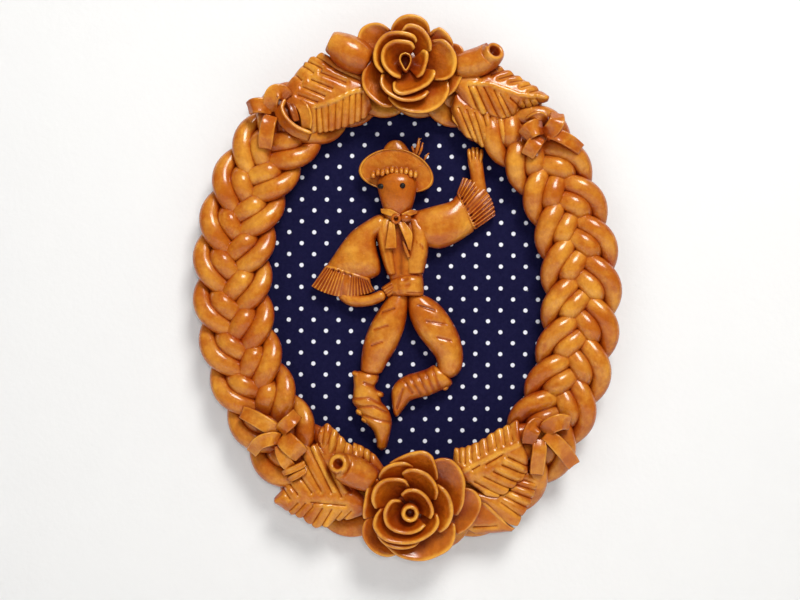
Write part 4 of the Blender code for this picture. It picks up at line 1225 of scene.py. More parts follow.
    def _strip(
        self, left: Sequence[tuple[float, float]], right: Sequence[tuple[float, float]], tops: Sequence[float]
    ) -> None:
        """Add a flat tail of cloth between two edge lines, a little hollow, with painted light along its
        edges.

        Args:
            left: points on one edge.
            right: points on the other edge.
            tops: height at each pair of points.
        """
        u = np.linspace(0.0, 1.0, 36)
        v = cosine_steps(22)[None, :, None]
        edges = smooth(np.column_stack([left, right, tops]), u)
        flat = edges[:, None, 0:2] * (1 - v) + edges[:, None, 2:4] * v
        height = edges[:, None, 4:5] - 0.35 * np.sin(math.pi * v)
        rim = round_off(u, 0.03, 0.03)[:, None] * round_off(v[..., 0], 0.12, 0.12)
        # Painted light along both edges.
        tone = 0.25 + 0.2 * np.abs(2 * v[..., 0] - 1) ** 4 + 0 * rim
        self.clay.sheet(np.concatenate([flat, height], axis=-1), 0.6 * rim, tone)

    def _pleats(
        self, seam: Sequence[float], edge: Sequence[float], bulge: tuple[float, float], count: int
    ) -> Sequence[tuple[float, float, float, float]]:
        """Return fanning strokes from a seam to an edge, each share of one joined to the other's same share.

        Args:
            seam: both ends (x, z, x, z) of the seam.
            edge: both ends (x, z, x, z) of the edge.
            bulge: how far the middle of the edge lies beyond its ends.
            count: number of strokes.

        Returns:
            The strokes.
        """
        share = np.linspace(0.03, 0.97, count)[:, None]
        seam_points = np.array(seam[0:2]) * (1 - share) + np.array(seam[2:4]) * share
        edge_points = np.array(edge[0:2]) * (1 - share) + np.array(edge[2:4]) * share
        edge_points = edge_points + (1 - (2 * share - 1) ** 2) * np.array(bulge)
        return np.concatenate([seam_points, edge_points], axis=1).tolist()

    def _sleeves(self) -> None:
        """Add both bell sleeves: plain to a pricked seam, then a pleated cuff that flares."""
        lowered = [
            (-8.0, 37.2, -8.6, 27.5, 10.6),
            (-14.6, 35.8, -12.0, 26.4, 11.0),
            (-20.8, 32.3, -15.0, 23.6, 11.0),
            (-27.0, 27.8, -14.4, 18.0, 11.6),
            (-32.6, 21.0, -12.9, 12.0, 12.2),
            (-36.8, 14.8, -13.4, 6.6, 11.4),
            (-40.4, 9.9, -20.6, 2.6, 8.8),
        ]
        pricks = [(-36.2, 8.6, -36.1, 8.5), (-33.4, 8.0, -33.3, 7.9), (-30.6, 7.2, -30.5, 7.1),
            (-27.6, 6.2, -27.5, 6.1)]
        self.clay.loft(lowered, 70, 64, 2.2, (0.16, 0.05), relief=[Cuts(pricks, 0.55, 1.4)], tone=0.1)
        cuff = [(-39.0, 12.6, -18.0, 5.4, 10.2), (-43.6, 5.6, -17.4, 1.4, 9.2),
            (-47.6, 0.2, -15.4, -2.0, 7.4)]
        fall = (0.0, -4.2)
        pleats = self._pleats((-39.8, 9.6, -18.8, 3.0), (-47.6, 0.2, -15.4, -2.0), fall, 19)
        # The cuff's top is painted paler as lit, and its pleats and pricks darker as painted shade.
        self.clay.loft(cuff, 38, 204, 3.2, (0.14, 0.035), fall,
            [Cuts(pleats, 0.42, 1.1), Cuts(pricks, 0.6, 1.3)], 0.5, 0.38, 0.15, 0.95)
        raised = [
            (0.5, 36.6, 5.0, 21.5, 10.8),
            (13.3, 40.2, 16.4, 19.2, 12.0),
            (21.6, 42.6, 25.0, 22.3, 11.6),
            (25.6, 47.0, 34.6, 28.6, 9.2),
        ]
        pricks = [(27.2 + 1.45 * n, 43.6 - 2.7 * n, 27.3 + 1.45 * n, 43.5 - 2.7 * n) for n in range(6)]
        self.clay.loft(raised, 70, 64, 2.2, (0.1, 0.05), relief=[Cuts(pricks, 0.55, 1.4)], tone=0.1)
        cuff = [(24.2, 45.4, 32.2, 27.6, 10.3), (26.2, 50.4, 38.8, 31.8, 9.6), (27.9, 54.8, 44.4, 35.8, 8.0)]
        flare = (3.2, 2.6)
        pleats = self._pleats((25.4, 46.8, 34.4, 29.0), (27.9, 54.8, 44.4, 35.8), flare, 13)
        # The cuff's top is painted paler as lit, and its pleats and pricks darker as painted shade.
        self.clay.loft(cuff, 38, 204, 3.2, (0.14, 0.035), flare,
            [Cuts(pleats, 0.45, 1.2), Cuts(pricks, 0.6, 1.3)], 0.5, 0.38, 0.15, 0.95)

    def _hands(self) -> None:
        """Add the forearm and fist on the hip, and the raised forearm with its four short fingers."""
        points = [(-33.5, -2.6, 3.6), (-27, -6.2, 4.6), (-18.5, -6.4, 5.8), (-10.5, -3.2, 8.2)]
        self.clay.limb(points, [2.4, 3.2, 2.8, 2.8], [2.6, 3.2, 3.2, 2.6], 38, 28)
        fist = [(-13.5, -0.6, -9.6, -6.0, 9.0), (-10.0, 1.8, -6.4, -3.8, 11.0), (-7.2, 3.4, -4.4, -1.0, 11.8)]
        knuckles = [(-12.6, -1.8, -6.2, 2.4), (-11.8, -3.0, -5.4, 1.0), (-10.9, -4.2, -5.0, -0.4)]
        self.clay.loft(fist, 32, 50, 2.6, (0.2, 0.2), relief=[Cuts(knuckles, 0.35, 0.7)])
        forearm = [(36.0, 44, 5.0), (35.5, 50, 5.4), (34.8, 57, 5.2), (34.0, 62, 5.1), (33.9, 66.4, 4.8)]
        self.clay.limb(forearm, [4.4, 3.8, 3.5, 3.7, 3.8], [3.2, 3.0, 2.8, 2.4, 2.0], 44, 28)
        for finger in range(4):
            aside = finger - 1.5
            tip = 69.5 - 0.5 * (finger - 1.4) ** 2
            path = [(34.0 + 1.5 * aside, 61.0, 5.4), (33.9 + 1.9 * aside, 65.2, 6.1),
                (33.9 + 2.0 * aside, tip, 5.0)]
            self.clay.limb(path, [0.7, 1.15, 1.0], [1.6, 1.7, 1.4], 22, 14, tone=0.15)

    def _trousers(self) -> None:
        """Add both trouser legs with their three slits each."""
        left = [
            (-7.0, -1.0, 1.4, -2.0, 8.8),
            (-13.2, -10.4, 0.3, -12.5, 11.4),
            (-18.2, -19.0, -1.2, -20.5, 12.4),
            (-21.4, -28.0, -5.0, -30.0, 12.0),
            (-22.6, -36.0, -9.6, -37.5, 10.6),
            (-22.8, -42.5, -13.2, -44.0, 9.4),
        ]
        slits = [(-12.0, -12.4, -6.0, -10.4), (-15.8, -20.8, -9.2, -18.8), (-17.2, -28.6, -12.0, -26.8)]
        self.clay.loft(left, 90, 70, 2.1, (0.07, 0.06), relief=[Cuts(slits, 0.5, 1.0)])
        right = [
            (0.2, -2.0, 8.4, -3.0, 8.8),
            (1.3, -13.8, 16.6, -8.8, 11.4),
            (5.3, -22.9, 22.4, -16.6, 12.4),
            (10.4, -29.6, 26.3, -24.6, 12.4),
            (14.4, -35.0, 28.0, -33.2, 11.6),
            (15.2, -39.5, 27.0, -40.6, 10.6),
            (14.6, -43.0, 22.4, -46.6, 9.2),
        ]
        slits = [(5.6, -8.8, 13.6, -11.2), (9.6, -16.6, 19.2, -18.0), (15.2, -24.6, 21.8, -26.2)]
        self.clay.loft(right, 90, 70, 2.1, (0.07, 0.1), relief=[Cuts(slits, 0.5, 1.0)])

    def _boots(self) -> None:
        """Add both boots with the wraps wound round them."""
        left = [
            (-25.0, -40.6, -13.6, -42.0, 8.0),
            (-26.4, -44.0, -13.8, -45.5, 9.4),
            (-26.2, -48.5, -15.6, -49.4, 9.4),
            (-26.6, -53.4, -13.2, -52.2, 10.0),
            (-26.8, -56.8, -12.4, -56.6, 10.6),
            (-24.0, -60.8, -9.4, -59.8, 10.4),
            (-21.4, -66.0, -7.4, -65.0, 10.2),
            (-17.0, -70.4, -7.6, -70.0, 9.6),
            (-15.2, -75.0, -8.8, -75.6, 8.6),
            (-14.8, -80.6, -10.2, -81.0, 6.4),
        ]
        bands = [
            (-26.8, -55.0, -19.0, -54.2),
            (-19.0, -54.2, -12.4, -57.4),
            (-24.6, -59.0, -16.0, -58.4),
            (-16.0, -58.4, -9.6, -61.6),
            (-22.6, -62.6, -14.0, -65.2),
            (-14.0, -65.2, -7.0, -66.6),
            (-21.0, -47.0, -15.4, -49.2),
        ]
        self.clay.loft(left, 110, 76, 2.2, (0.05, 0.05), relief=[Cuts(bands, 0.55, 0.9)], tone=0.05)
        for x, z, size in ((-23.4, -61.4, 1.9), (-20.6, -65.4, 1.7), (-14.2, -52.6, 1.5),
            (-25.2, -42.8, 1.5)):
            self.clay.limb([(x - 1.2, z + 0.6, 4.6), (x + 2.4, z - 0.8, 6.8)], [size, size], [2.6, 2.6], 20,
                18)
        right = [
            (14.8, -38.4, 24.0, -46.6, 9.4),
            (13.0, -38.6, 21.4, -49.0, 10.2),
            (9.8, -40.4, 16.4, -51.2, 10.6),
            (4.8, -42.0, 10.6, -53.8, 10.6),
            (0.2, -43.4, 5.4, -55.0, 10.2),
            (-4.2, -46.0, 1.8, -56.4, 9.6),
            (-7.2, -50.4, -0.8, -59.6, 8.6),
            (-7.4, -57.0, -3.0, -62.4, 7.0),
            (-6.4, -64.0, -4.4, -64.6, 4.8),
        ]
        bands = [(12.6, -39.4, 16.6, -50.6), (9.0, -41.0, 13.6, -51.4), (5.4, -42.4, 10.4, -52.6),
            (1.6, -43.6, 6.8, -53.0)]
        bands += [(-1.6, -45.2, 2.8, -52.0), (-2.0, -50.2, -5.0, -60.0)]
        self.clay.loft(right, 110, 76, 2.2, (0.06, 0.06), relief=[Cuts(bands, 0.6, 0.8)], tone=0.05)
        self.clay.limb([(17.0, -47.5, 5.6), (20.4, -50.4, 5.4)], [2.2, 1.8], [2.6, 2.0], 20, 18)

    def build(self, material: bpy.types.Material) -> None:
        """Build the dancer from the cloth upwards and install it."""
        self._hat()
        self._head()
        self._sleeves()
        self._torso()
        self._trousers()
        self._boots()
        self._hands()
        install(self.clay.piece("dancer_dressed", material), "dancing_figure")


@dataclass
class Eye:
    """A round black bead pressed into the head."""

    name: str
    x: float
    z: float
    h: float
    radius: float = 1.5
    half_height: float = 1.1
    stretch: float = 0.0

    def build(self, material: bpy.types.Material) -> None:
        """Turn half an ellipse about the axis that faces the viewer, and install the bead.

        The radius grows by the stretch times the square of the cosine, which makes the bead longer than high.
        """
        half_turn = np.linspace(0.0, math.pi, 24)
        radius = np.maximum(self.radius * np.sin(half_turn), 0.004)
        profile = np.column_stack([radius, (1 - np.cos(half_turn)) / 2, np.zeros(24)])
        axis = [(self.x, self.z, self.h - self.half_height), (self.x, self.z, self.h + self.half_height)]

        def longer(place: Array) -> Array:
            """Scale the radius along one bearing."""
            return 1.0 + self.stretch * np.cos(place[..., 0] + 0.45) ** 2

        clay = Clay()
        clay.turned(axis, profile, 40, shape=longer)
        install(clay.piece(self.name + "_dressed", material), self.name)


@dataclass
class ClothPanel:
    """The oval of cotton glued on the board."""

    oval: Oval
    margin: float = 8.5
    thickness: float = 0.35
    ripple: float = 0.10

    def build(self, material: bpy.types.Material) -> None:
        """A point's height is the cloth's face plus the ripple times a soft random sheet that dies out
        towards the edge.
        """
        angle = np.linspace(0.0, FULL_TURN, 180, endpoint=False)
        share = np.linspace(1.0, 0.01, 30)[:, None]
        rim = self.oval.at(angle, self.margin)
        flat = share[..., None] * rim
        wave = Wobble(5, 7, 0.12).at(flat[..., 0], flat[..., 1])
        top = -self.ripple + self.ripple * wave * (1 - share**4)
        front = np.concatenate([flat, top[..., None]], axis=-1)
        back = front[::-1].copy()
        back[..., 2] -= self.thickness
        clay = Clay()
        clay.skin(np.concatenate([back, front]), np.zeros((60, 180)))
        piece = clay.piece("cloth_dressed", material)
        install(piece, "fabric_panel")
        area = self.oval.area(self.margin) * MM**2


@dataclass
class BackingBoard:
    """The flat oval board behind the cloth, with a small chamfer round its edge."""

    oval: Oval
    margin: float = 12.5
    chamfer: float = 0.4
    sides: int = 240

    def build(self, material: bpy.types.Material) -> None:
        """Stack rings of the oval: the back, the edge between two chamfers, and the front."""
        angle = np.linspace(0.0, FULL_TURN, self.sides, endpoint=False)
        face, back = BOARD_FACE - CLOTH_FACE, -CLOTH_FACE
        steps = [(-60.0, back), (-30.0, back), (-self.chamfer, back), (0.0, back + self.chamfer)]
        steps += [(0.0, face - self.chamfer), (-self.chamfer, face), (-30.0, face), (-60.0, face)]
        rings = np.stack([
            np.column_stack([self.oval.at(angle, self.margin + inset), np.full(self.sides, height)]) for inset,
            height in steps
        ])
        clay = Clay()
        clay.skin(rings, np.zeros(rings.shape[:2]))
        piece = clay.piece("board_dressed", material)
        piece.data.set_sharp_from_angle(angle=math.radians(30))
        install(piece, "backing_board")


@dataclass(frozen=True)
class Lamp:
    """A square soft light that faces the plaque; glossy places mirror it or not."""

    name: str
    place: tuple[float, float, float]
    size: float
    power: float
    tint: tuple[float, float, float]
    mirrored: bool = False

    def build(self) -> None:
        """Hang the light and turn it to the plaque."""
        light = bpy.data.lights.new(self.name, "AREA")
        light.size = self.size
        light.energy = self.power
        light.color = self.tint
        lamp = bpy.data.objects.new(self.name, light)
        lamp.location = self.place
        lamp.visible_glossy = self.mirrored
        lamp.rotation_euler = (-Vector(self.place)).to_track_quat("-Z", "Y").to_euler()
        bpy.context.scene.collection.objects.link(lamp)


@dataclass
class Studio:
    """The pale wall and floor, the lights and the camera."""

    camera_distance: float = 0.555
    aim: tuple[float, float] = (-0.00325, -0.00625)
    lens: float = 50.0
    sensor: float = 36.0
    wall: Colour = (0.86, 0.86, 0.855, 1.0)
    wall_size: float = 1.6
    wall_gap: float = 0.0012
    floor_drop: float = 0.32
    floor_reach: float = 2.5
    room_tint: Colour = (0.93, 0.95, 1.0, 1.0)
    room_strength: float = 0.11
    lamps: tuple[Lamp, ...] = (
        Lamp("window", (0.26, -0.80, 0.72), 0.36, 9.2, (1.0, 0.985, 0.96), True),
        Lamp("room", (-0.75, -0.95, 0.25), 0.7, 2.3, (0.96, 0.98, 1.0)),
        Lamp("camera_side", (0.05, -0.90, 0.10), 0.10, 1.7, (1.0, 0.98, 0.95)),
        Lamp("behind", (-0.25, 0.95, 0.35), 0.6, 1.7, (1.0, 0.98, 0.96)),
    )

    def _plane(self, name: str, corners: Sequence[tuple[float, float, float]],
        material: bpy.types.Material) -> None:
        """Add one flat stage piece."""
        mesh = bpy.data.meshes.new(name)
        mesh.from_pydata(corners, [], [(0, 1, 2, 3)])
        mesh.materials.append(material)
        plane = bpy.data.objects.new(name, mesh)
        bpy.context.scene.collection.objects.link(plane)

    def _wall_paper(self) -> bpy.types.Material:
        """Build a matt pale paper, seen from its front only, that lets light from behind reach the board."""
        graph = Graph("pale_paper")
        cloud = graph.noise(9.0, 3.0)
        grey = (self.wall[0] * 0.96, self.wall[1] * 0.96, self.wall[2] * 0.965, 1.0)
        graph.shade({
            "Base Color": graph.mix(cloud, self.wall, grey),
            "Roughness": graph.span(cloud, 0.3, 0.7, 0.8, 0.95),
            "Specular IOR Level": 0.1,
        })
        graph.bump(graph.noise(420.0, 3.0), 0.0003, 0.35)
        tree = graph.material.node_tree
        clear = graph.node("ShaderNodeBsdfTransparent", {})
        behind = graph.node("ShaderNodeNewGeometry", {}).outputs["Backfacing"]
        lit = graph.node("ShaderNodeLightPath", {}).outputs["Is Shadow Ray"]
        inputs = {0: graph.math("MAXIMUM", behind, lit), 1: graph.shader.outputs[0], 2: clear.outputs[0]}
        both = graph.node("ShaderNodeMixShader", inputs)
        tree.links.new(both.outputs[0], tree.nodes["Material Output"].inputs["Surface"])
        return graph.material

    def build(self) -> None:
        """Set up the stage."""
        paper = self._wall_paper()
        half, gap, low, reach = self.wall_size / 2, self.wall_gap, -self.floor_drop, self.floor_reach
        wall = [(-half, gap, low), (half, gap, low), (half, gap, half), (-half, gap, half)]
        self._plane("wall", wall, paper)
        floor = [(-reach, -reach, low), (reach, -reach, low), (reach, reach, low), (-reach, reach, low)]
        self._plane("floor", floor, paper)
        for lamp in self.lamps:
            lamp.build()
        world = bpy.data.worlds.new("room_light")
        bpy.context.scene.world = world
        world.use_nodes = True
        background = world.node_tree.nodes["Background"]
        background.inputs["Color"].default_value = self.room_tint
        background.inputs["Strength"].default_value = self.room_strength
        camera = bpy.data.cameras.new("camera")
        camera.lens = self.lens
        camera.sensor_width = self.sensor
        eye = bpy.data.objects.new("camera", camera)
        eye.location = (self.aim[0], -(CLOTH_FACE * MM + self.camera_distance), self.aim[1])
        eye.rotation_euler = (math.pi / 2, 0.0, 0.0)
        bpy.context.scene.collection.objects.link(eye)
        bpy.context.scene.camera = eye
        bpy.context.scene.view_settings.view_transform = "Standard"


def top_rose() -> Rose:
    """Return the top rose, its petals from the core outwards."""
    petals = [
        Petal([(-3.2, 98.3), (-6.8, 100.1), (-11.0, 104.3), (-12.5, 109.0), (-11.0, 114.4), (-6.8, 117.4),
                (-2.0, 117.7), (2.8, 116.8), (4.6, 115.0)], 27.6, 0.22),
        Petal([(9.0, 113.8), (10.3, 111.6), (10.5, 108.4), (9.6, 104.8), (8.1, 101.3), (5.7, 98.9)], 27.4,
            0.26, 1.7),
        Petal([(-6.8, 96.5), (-6.5, 93.5), (-3.2, 91.4), (1.0, 91.7), (6.3, 93.5), (11.1, 96.5),
                (14.1, 101.3), (14.3, 103.0)], 26.9, 0.28),
        Petal([(-12.6, 101.5), (-15.4, 106.0), (-16.0, 110.8), (-14.5, 116.2), (-11.0, 120.4), (-6.8, 121.9),
                (-1.4, 121.9), (4.0, 120.4), (5.6, 118.5)], 26.6, 0.4),
        Petal([(-13.0, 101.5), (-12.8, 97.0), (-10.4, 93.2), (-6.6, 90.4), (-2.6, 88.6), (3.0, 88.3),
                (8.4, 90.0), (11.5, 92.5)], 25.6, 0.42),
        Petal([(-3.0, 122.5), (-0.3, 125.4), (3.4, 125.8), (7.6, 124.0), (10.6, 120.3), (12.1, 116.8),
                (12.7, 113.6)], 25.2, 0.4),
        Petal([(12.6, 118.8), (17.2, 118.6), (20.8, 115.6), (23.5, 110.8), (23.8, 106.0), (22.0, 101.2),
                (18.6, 99.0), (14.4, 98.9)], 24.2, 0.45),
        Petal([(-8.6, 122.0), (-6.9, 126.2), (-3.3, 129.8), (1.6, 131.2), (6.5, 130.4), (10.2, 127.6),
                (12.2, 123.2)], 21.2, 0.5),
        Petal([(-21.8, 105.4), (-24.0, 112.0), (-24.2, 117.5), (-22.7, 124.0), (-19.2, 126.8), (-13.8, 127.4),
                (-9.4, 125.4), (-8.0, 122.4)], 20.4, 0.5),
        Petal([(12.2, 122.6), (15.4, 124.9), (19.2, 122.4), (21.8, 118.6), (23.2, 115.0)], 21.4, 0.5),
        Petal([(23.6, 118.4), (27.0, 116.4), (28.7, 111.0), (28.4, 105.0), (26.4, 100.0), (23.4, 94.8),
                (19.6, 91.4)], 18.6, 0.5),
        Petal([(-9.8, 90.2), (-5.4, 86.4), (0.0, 84.0), (6.0, 83.2), (12.4, 84.4), (17.6, 88.2), (20.4, 93.6),
                (20.8, 99.0)], 21.6, 0.45),
        Petal([(-18.9, 109.0), (-21.4, 103.8), (-21.8, 98.6), (-20.2, 93.8), (-16.6, 89.6), (-11.6, 86.2),
                (-7.2, 85.6)], 20.8, 0.5),
    ]
    core = [(0.0, 3.5), (-1.9, 2.6), (-2.5, 0.6), (-1.6, -1.9), (0.3, -4.6), (1.8, -2.6), (2.7, 0.2),
        (2.0, 2.6)]
    return Rose("top_rose", (-0.8, 107.6), petals, core, 27.7, 1.35, 0.3)


def bottom_rose() -> Rose:
    """Return the bottom rose, its petals from the core outwards."""
    petals = [
        Petal([(-3.5, -98.0), (0.2, -96.0), (5.0, -96.0), (9.1, -98.4), (11.8, -102.2), (13.1, -107.0),
                (12.5, -111.0)], 27.3, 0.4),
        Petal([(-3.8, -100.8), (-7.4, -101.3), (-10.2, -104.8), (-11.2, -109.0), (-10.0, -113.8),
                (-6.2, -116.9), (0.2, -118.2), (5.8, -116.9), (10.2, -114.4)], 27.2, 0.38),
        Petal([(-13.4, -105.6), (-15.6, -109.4), (-16.2, -113.8), (-14.1, -117.9), (-10.0, -121.3),
                (-4.6, -122.7), (2.3, -122.7), (8.4, -120.6), (13.9, -116.5), (16.0, -112.4), (15.6, -108.2)],
            26.2, 0.42),
        Petal([(-16.2, -106.2), (-17.0, -101.0), (-15.2, -95.3), (-11.4, -91.9), (-5.9, -90.9), (-0.6, -91.9),
                (0.8, -94.8)], 25.4, 0.42),
        Petal([(-2.6, -88.0), (0.4, -86.8), (5.0, -86.8), (10.5, -89.2), (13.9, -93.3), (15.3, -98.1),
                (14.9, -101.2)], 25.2, 0.4),
        Petal([(15.4, -93.8), (19.4, -98.0), (21.8, -103.6), (22.1, -109.0), (20.1, -114.5), (16.8, -118.6)],
            24.2, 0.45),
        Petal([(-16.0, -114.0), (-13.6, -120.0), (-9.6, -123.8), (-3.2, -125.6), (3.2, -125.0),
                (6.8, -123.2)], 24.4, 0.5),
        Petal([(-14.6, -91.4), (-18.2, -94.0), (-20.2, -99.4), (-21.0, -105.0), (-21.8, -112.0)], 21.6, 0.5),
        Petal([(-14.2, -91.0), (-11.6, -87.2), (-6.8, -84.6), (-1.2, -84.0), (3.0, -85.2)], 22.6, 0.5),
        Petal([(-8.8, -83.8), (-3.2, -81.2), (2.4, -79.2), (8.6, -78.8), (12.2, -81.0), (14.4, -86.4),
                (15.6, -92.0)], 20.6, 0.5),
        Petal([(12.8, -83.0), (16.8, -82.0), (21.8, -83.0), (26.0, -87.2), (28.2, -92.6), (28.2, -98.8),
                (27.4, -105.0), (25.2, -110.6)], 20.4, 0.5),
        Petal([(28.6, -96.8), (32.8, -98.2), (35.6, -101.6), (36.3, -105.2), (34.8, -110.6), (31.4, -116.0),
                (26.0, -120.8)], 17.6, 0.55),
        Petal([(-18.2, -109.8), (-21.2, -113.8), (-21.9, -119.4), (-19.8, -124.2), (-15.6, -128.4),
                (-10.0, -130.4), (-4.6, -130.0)], 19.4, 0.5),
        Petal([(-14.0, -122.0), (-9.2, -126.2), (-4.4, -129.8), (1.8, -131.8), (8.6, -132.0), (15.4, -129.6),
                (20.8, -126.2), (23.6, -120.8), (24.2, -114.0)], 20.6, 0.5),
    ]
    turn = np.linspace(0.0, FULL_TURN, 9)[:-1]
    core = [(3.25 * math.cos(angle), 3.25 * math.sin(angle)) for angle in turn]
    return Rose("bottom_rose", (1.6, -108.0), petals, core, 26.6, 2.7, 1.0)


def buds() -> list[Bud]:
    """Return the three buds."""
    return [
        Bud("top_left_bud", [(-18.5, 109.0, 16.0), (-28.4, 114.2, 17.5), (-37.4, 118.6, 18.4)], 8.2, 0.6),
        Bud("top_right_bud", [(23.5, 106.6, 16.0), (35.0, 108.8, 16.6), (40.6, 111.6, 19.6),
                (42.4, 113.2, 23.6)], 7.0, 0.62),
        Bud("bottom_left_bud", [(-15.5, -94.0, 16.0), (-26.4, -88.6, 16.8), (-31.8, -85.6, 19.8),
                (-33.2, -84.4, 23.8)], 7.4, 0.56),
    ]


def top_leaves() -> list[Leaf]:
    """Return the three leaves beside the top rose; every edge line runs from base to tip."""
    left = Blade(
        [(-18.5, 96.2), (-22.8, 104.3), (-30.0, 106.6), (-35.7, 111.3), (-41.3, 114.2), (-45.4, 112.9),
            (-49.1, 110.2), (-51.2, 107.0), (-54.5, 103.0), (-58.5, 98.0), (-62.0, 91.5)],
        [(-17.5, 88.0), (-20.5, 82.6), (-24.0, 80.2), (-28.2, 78.4), (-32.5, 76.8), (-38.4, 75.1),
            (-43.2, 74.6), (-46.5, 74.8), (-50.5, 78.0), (-56.0, 83.0), (-61.5, 88.5)],
        [
            (-45.6, 113.4, -36.3, 106.9), (-49.4, 110.6, -41.1, 105.9), (-51.2, 108.4, -45.1, 103.8),
            (-34.6, 105.6, -23.0, 100.5), (-41.6, 103.9, -29.6, 99.2), (-46.2, 100.4, -35.8, 96.2),
            (-50.4, 96.9, -39.6, 92.5), (-52.6, 93.0, -43.2, 89.6), (-54.6, 104.4, -50.8, 100.0),
            (-28.8, 108.0, -22.0, 103.8), (-44.0, 86.4, -43.8, 73.5), (-41.4, 86.6, -40.6, 73.5),
            (-38.1, 87.7, -38.1, 74.0), (-34.4, 89.0, -35.2, 74.5), (-30.9, 90.8, -32.2, 75.5),
            (-27.7, 92.6, -28.5, 77.0), (-24.7, 93.6, -25.5, 78.0), (-21.8, 93.6, -22.6, 79.0),
        ],
        [(-27.1, 94.3, -34.6, 90.5), (-34.6, 90.5, -44.3, 87.3), (-27.1, 94.3, -19.0, 96.5)],
        15.6, 1.6, (3.0, 4.6),
    )
    right = Blade(
        [(24.0, 103.0), (29.9, 105.3), (37.0, 107.0), (43.8, 108.1), (48.7, 105.9), (53.5, 103.2),
            (58.4, 100.0), (61.6, 98.4), (64.3, 95.7), (69.1, 91.9)],
        [(23.0, 97.0), (26.6, 92.6), (31.5, 87.2), (36.5, 83.7), (40.1, 84.2), (43.8, 81.9), (48.1, 81.6),
            (51.9, 83.9), (53.4, 87.4), (58.4, 87.2), (61.6, 87.8), (65.3, 89.9), (69.0, 91.4)],
        [
            (30.1, 97.0, 35.6, 84.0), (33.6, 97.0, 40.0, 83.0), (37.4, 96.6, 45.4, 81.0),
            (42.2, 95.2, 49.2, 81.0),
            (45.4, 93.3, 51.4, 82.6), (50.0, 91.4, 56.0, 86.6), (56.8, 90.2, 58.8, 86.4),
            (60.0, 90.4, 62.0, 87.0),
            (62.8, 91.4, 65.6, 88.6), (41.0, 102.6, 49.6, 106.4), (44.6, 100.6, 54.0, 103.4),
            (50.0, 99.0, 58.8, 100.6),
            (55.4, 96.6, 62.2, 98.6), (59.6, 94.2, 65.0, 95.6), (36.0, 101.6, 43.6, 106.0),
        ],
        [(30.4, 98.6, 40.1, 98.0), (40.1, 98.0, 47.6, 95.4), (47.6, 95.4, 54.0, 93.0),
            (54.0, 93.0, 67.0, 91.8), (31.6, 96.0, 37.4, 85.0)],
        16.4, 1.4, (2.6, 3.2),
    )
    hanging = Blade(
        [(24.6, 95.0), (30.0, 91.0), (36.0, 88.0), (43.0, 85.0), (49.0, 82.8), (54.5, 81.0), (56.6, 78.0),
            (56.0, 75.0)],
        [(24.0, 92.6), (22.0, 86.8), (22.4, 82.0), (25.4, 77.2), (28.6, 74.0), (33.0, 71.4), (36.8, 68.5),
            (40.1, 67.9), (43.8, 68.7), (47.6, 69.5), (51.0, 70.8), (54.6, 73.6)],
        [
            (22.4, 86.0, 28.2, 73.2), (25.6, 87.4, 33.4, 70.4), (29.2, 86.4, 36.2, 67.8),
            (33.0, 85.0, 39.0, 67.0),
            (37.0, 84.0, 41.8, 67.4), (40.6, 83.0, 44.4, 68.0), (44.0, 81.8, 46.6, 68.6),
            (47.4, 80.4, 48.8, 69.4),
            (50.8, 79.0, 50.8, 70.4), (53.2, 78.4, 53.0, 71.6),
        ],
        [(27.4, 84.0, 33.0, 73.0), (46.0, 81.0, 47.8, 71.0)],
        13.4, 1.4, (1.6, 4.0), 0.46, 1.1,
    )
    return [Leaf("top_left_leaf", [left]), Leaf("top_right_upper_leaf", [right]),
        Leaf("top_right_lower_leaf", [hanging])]


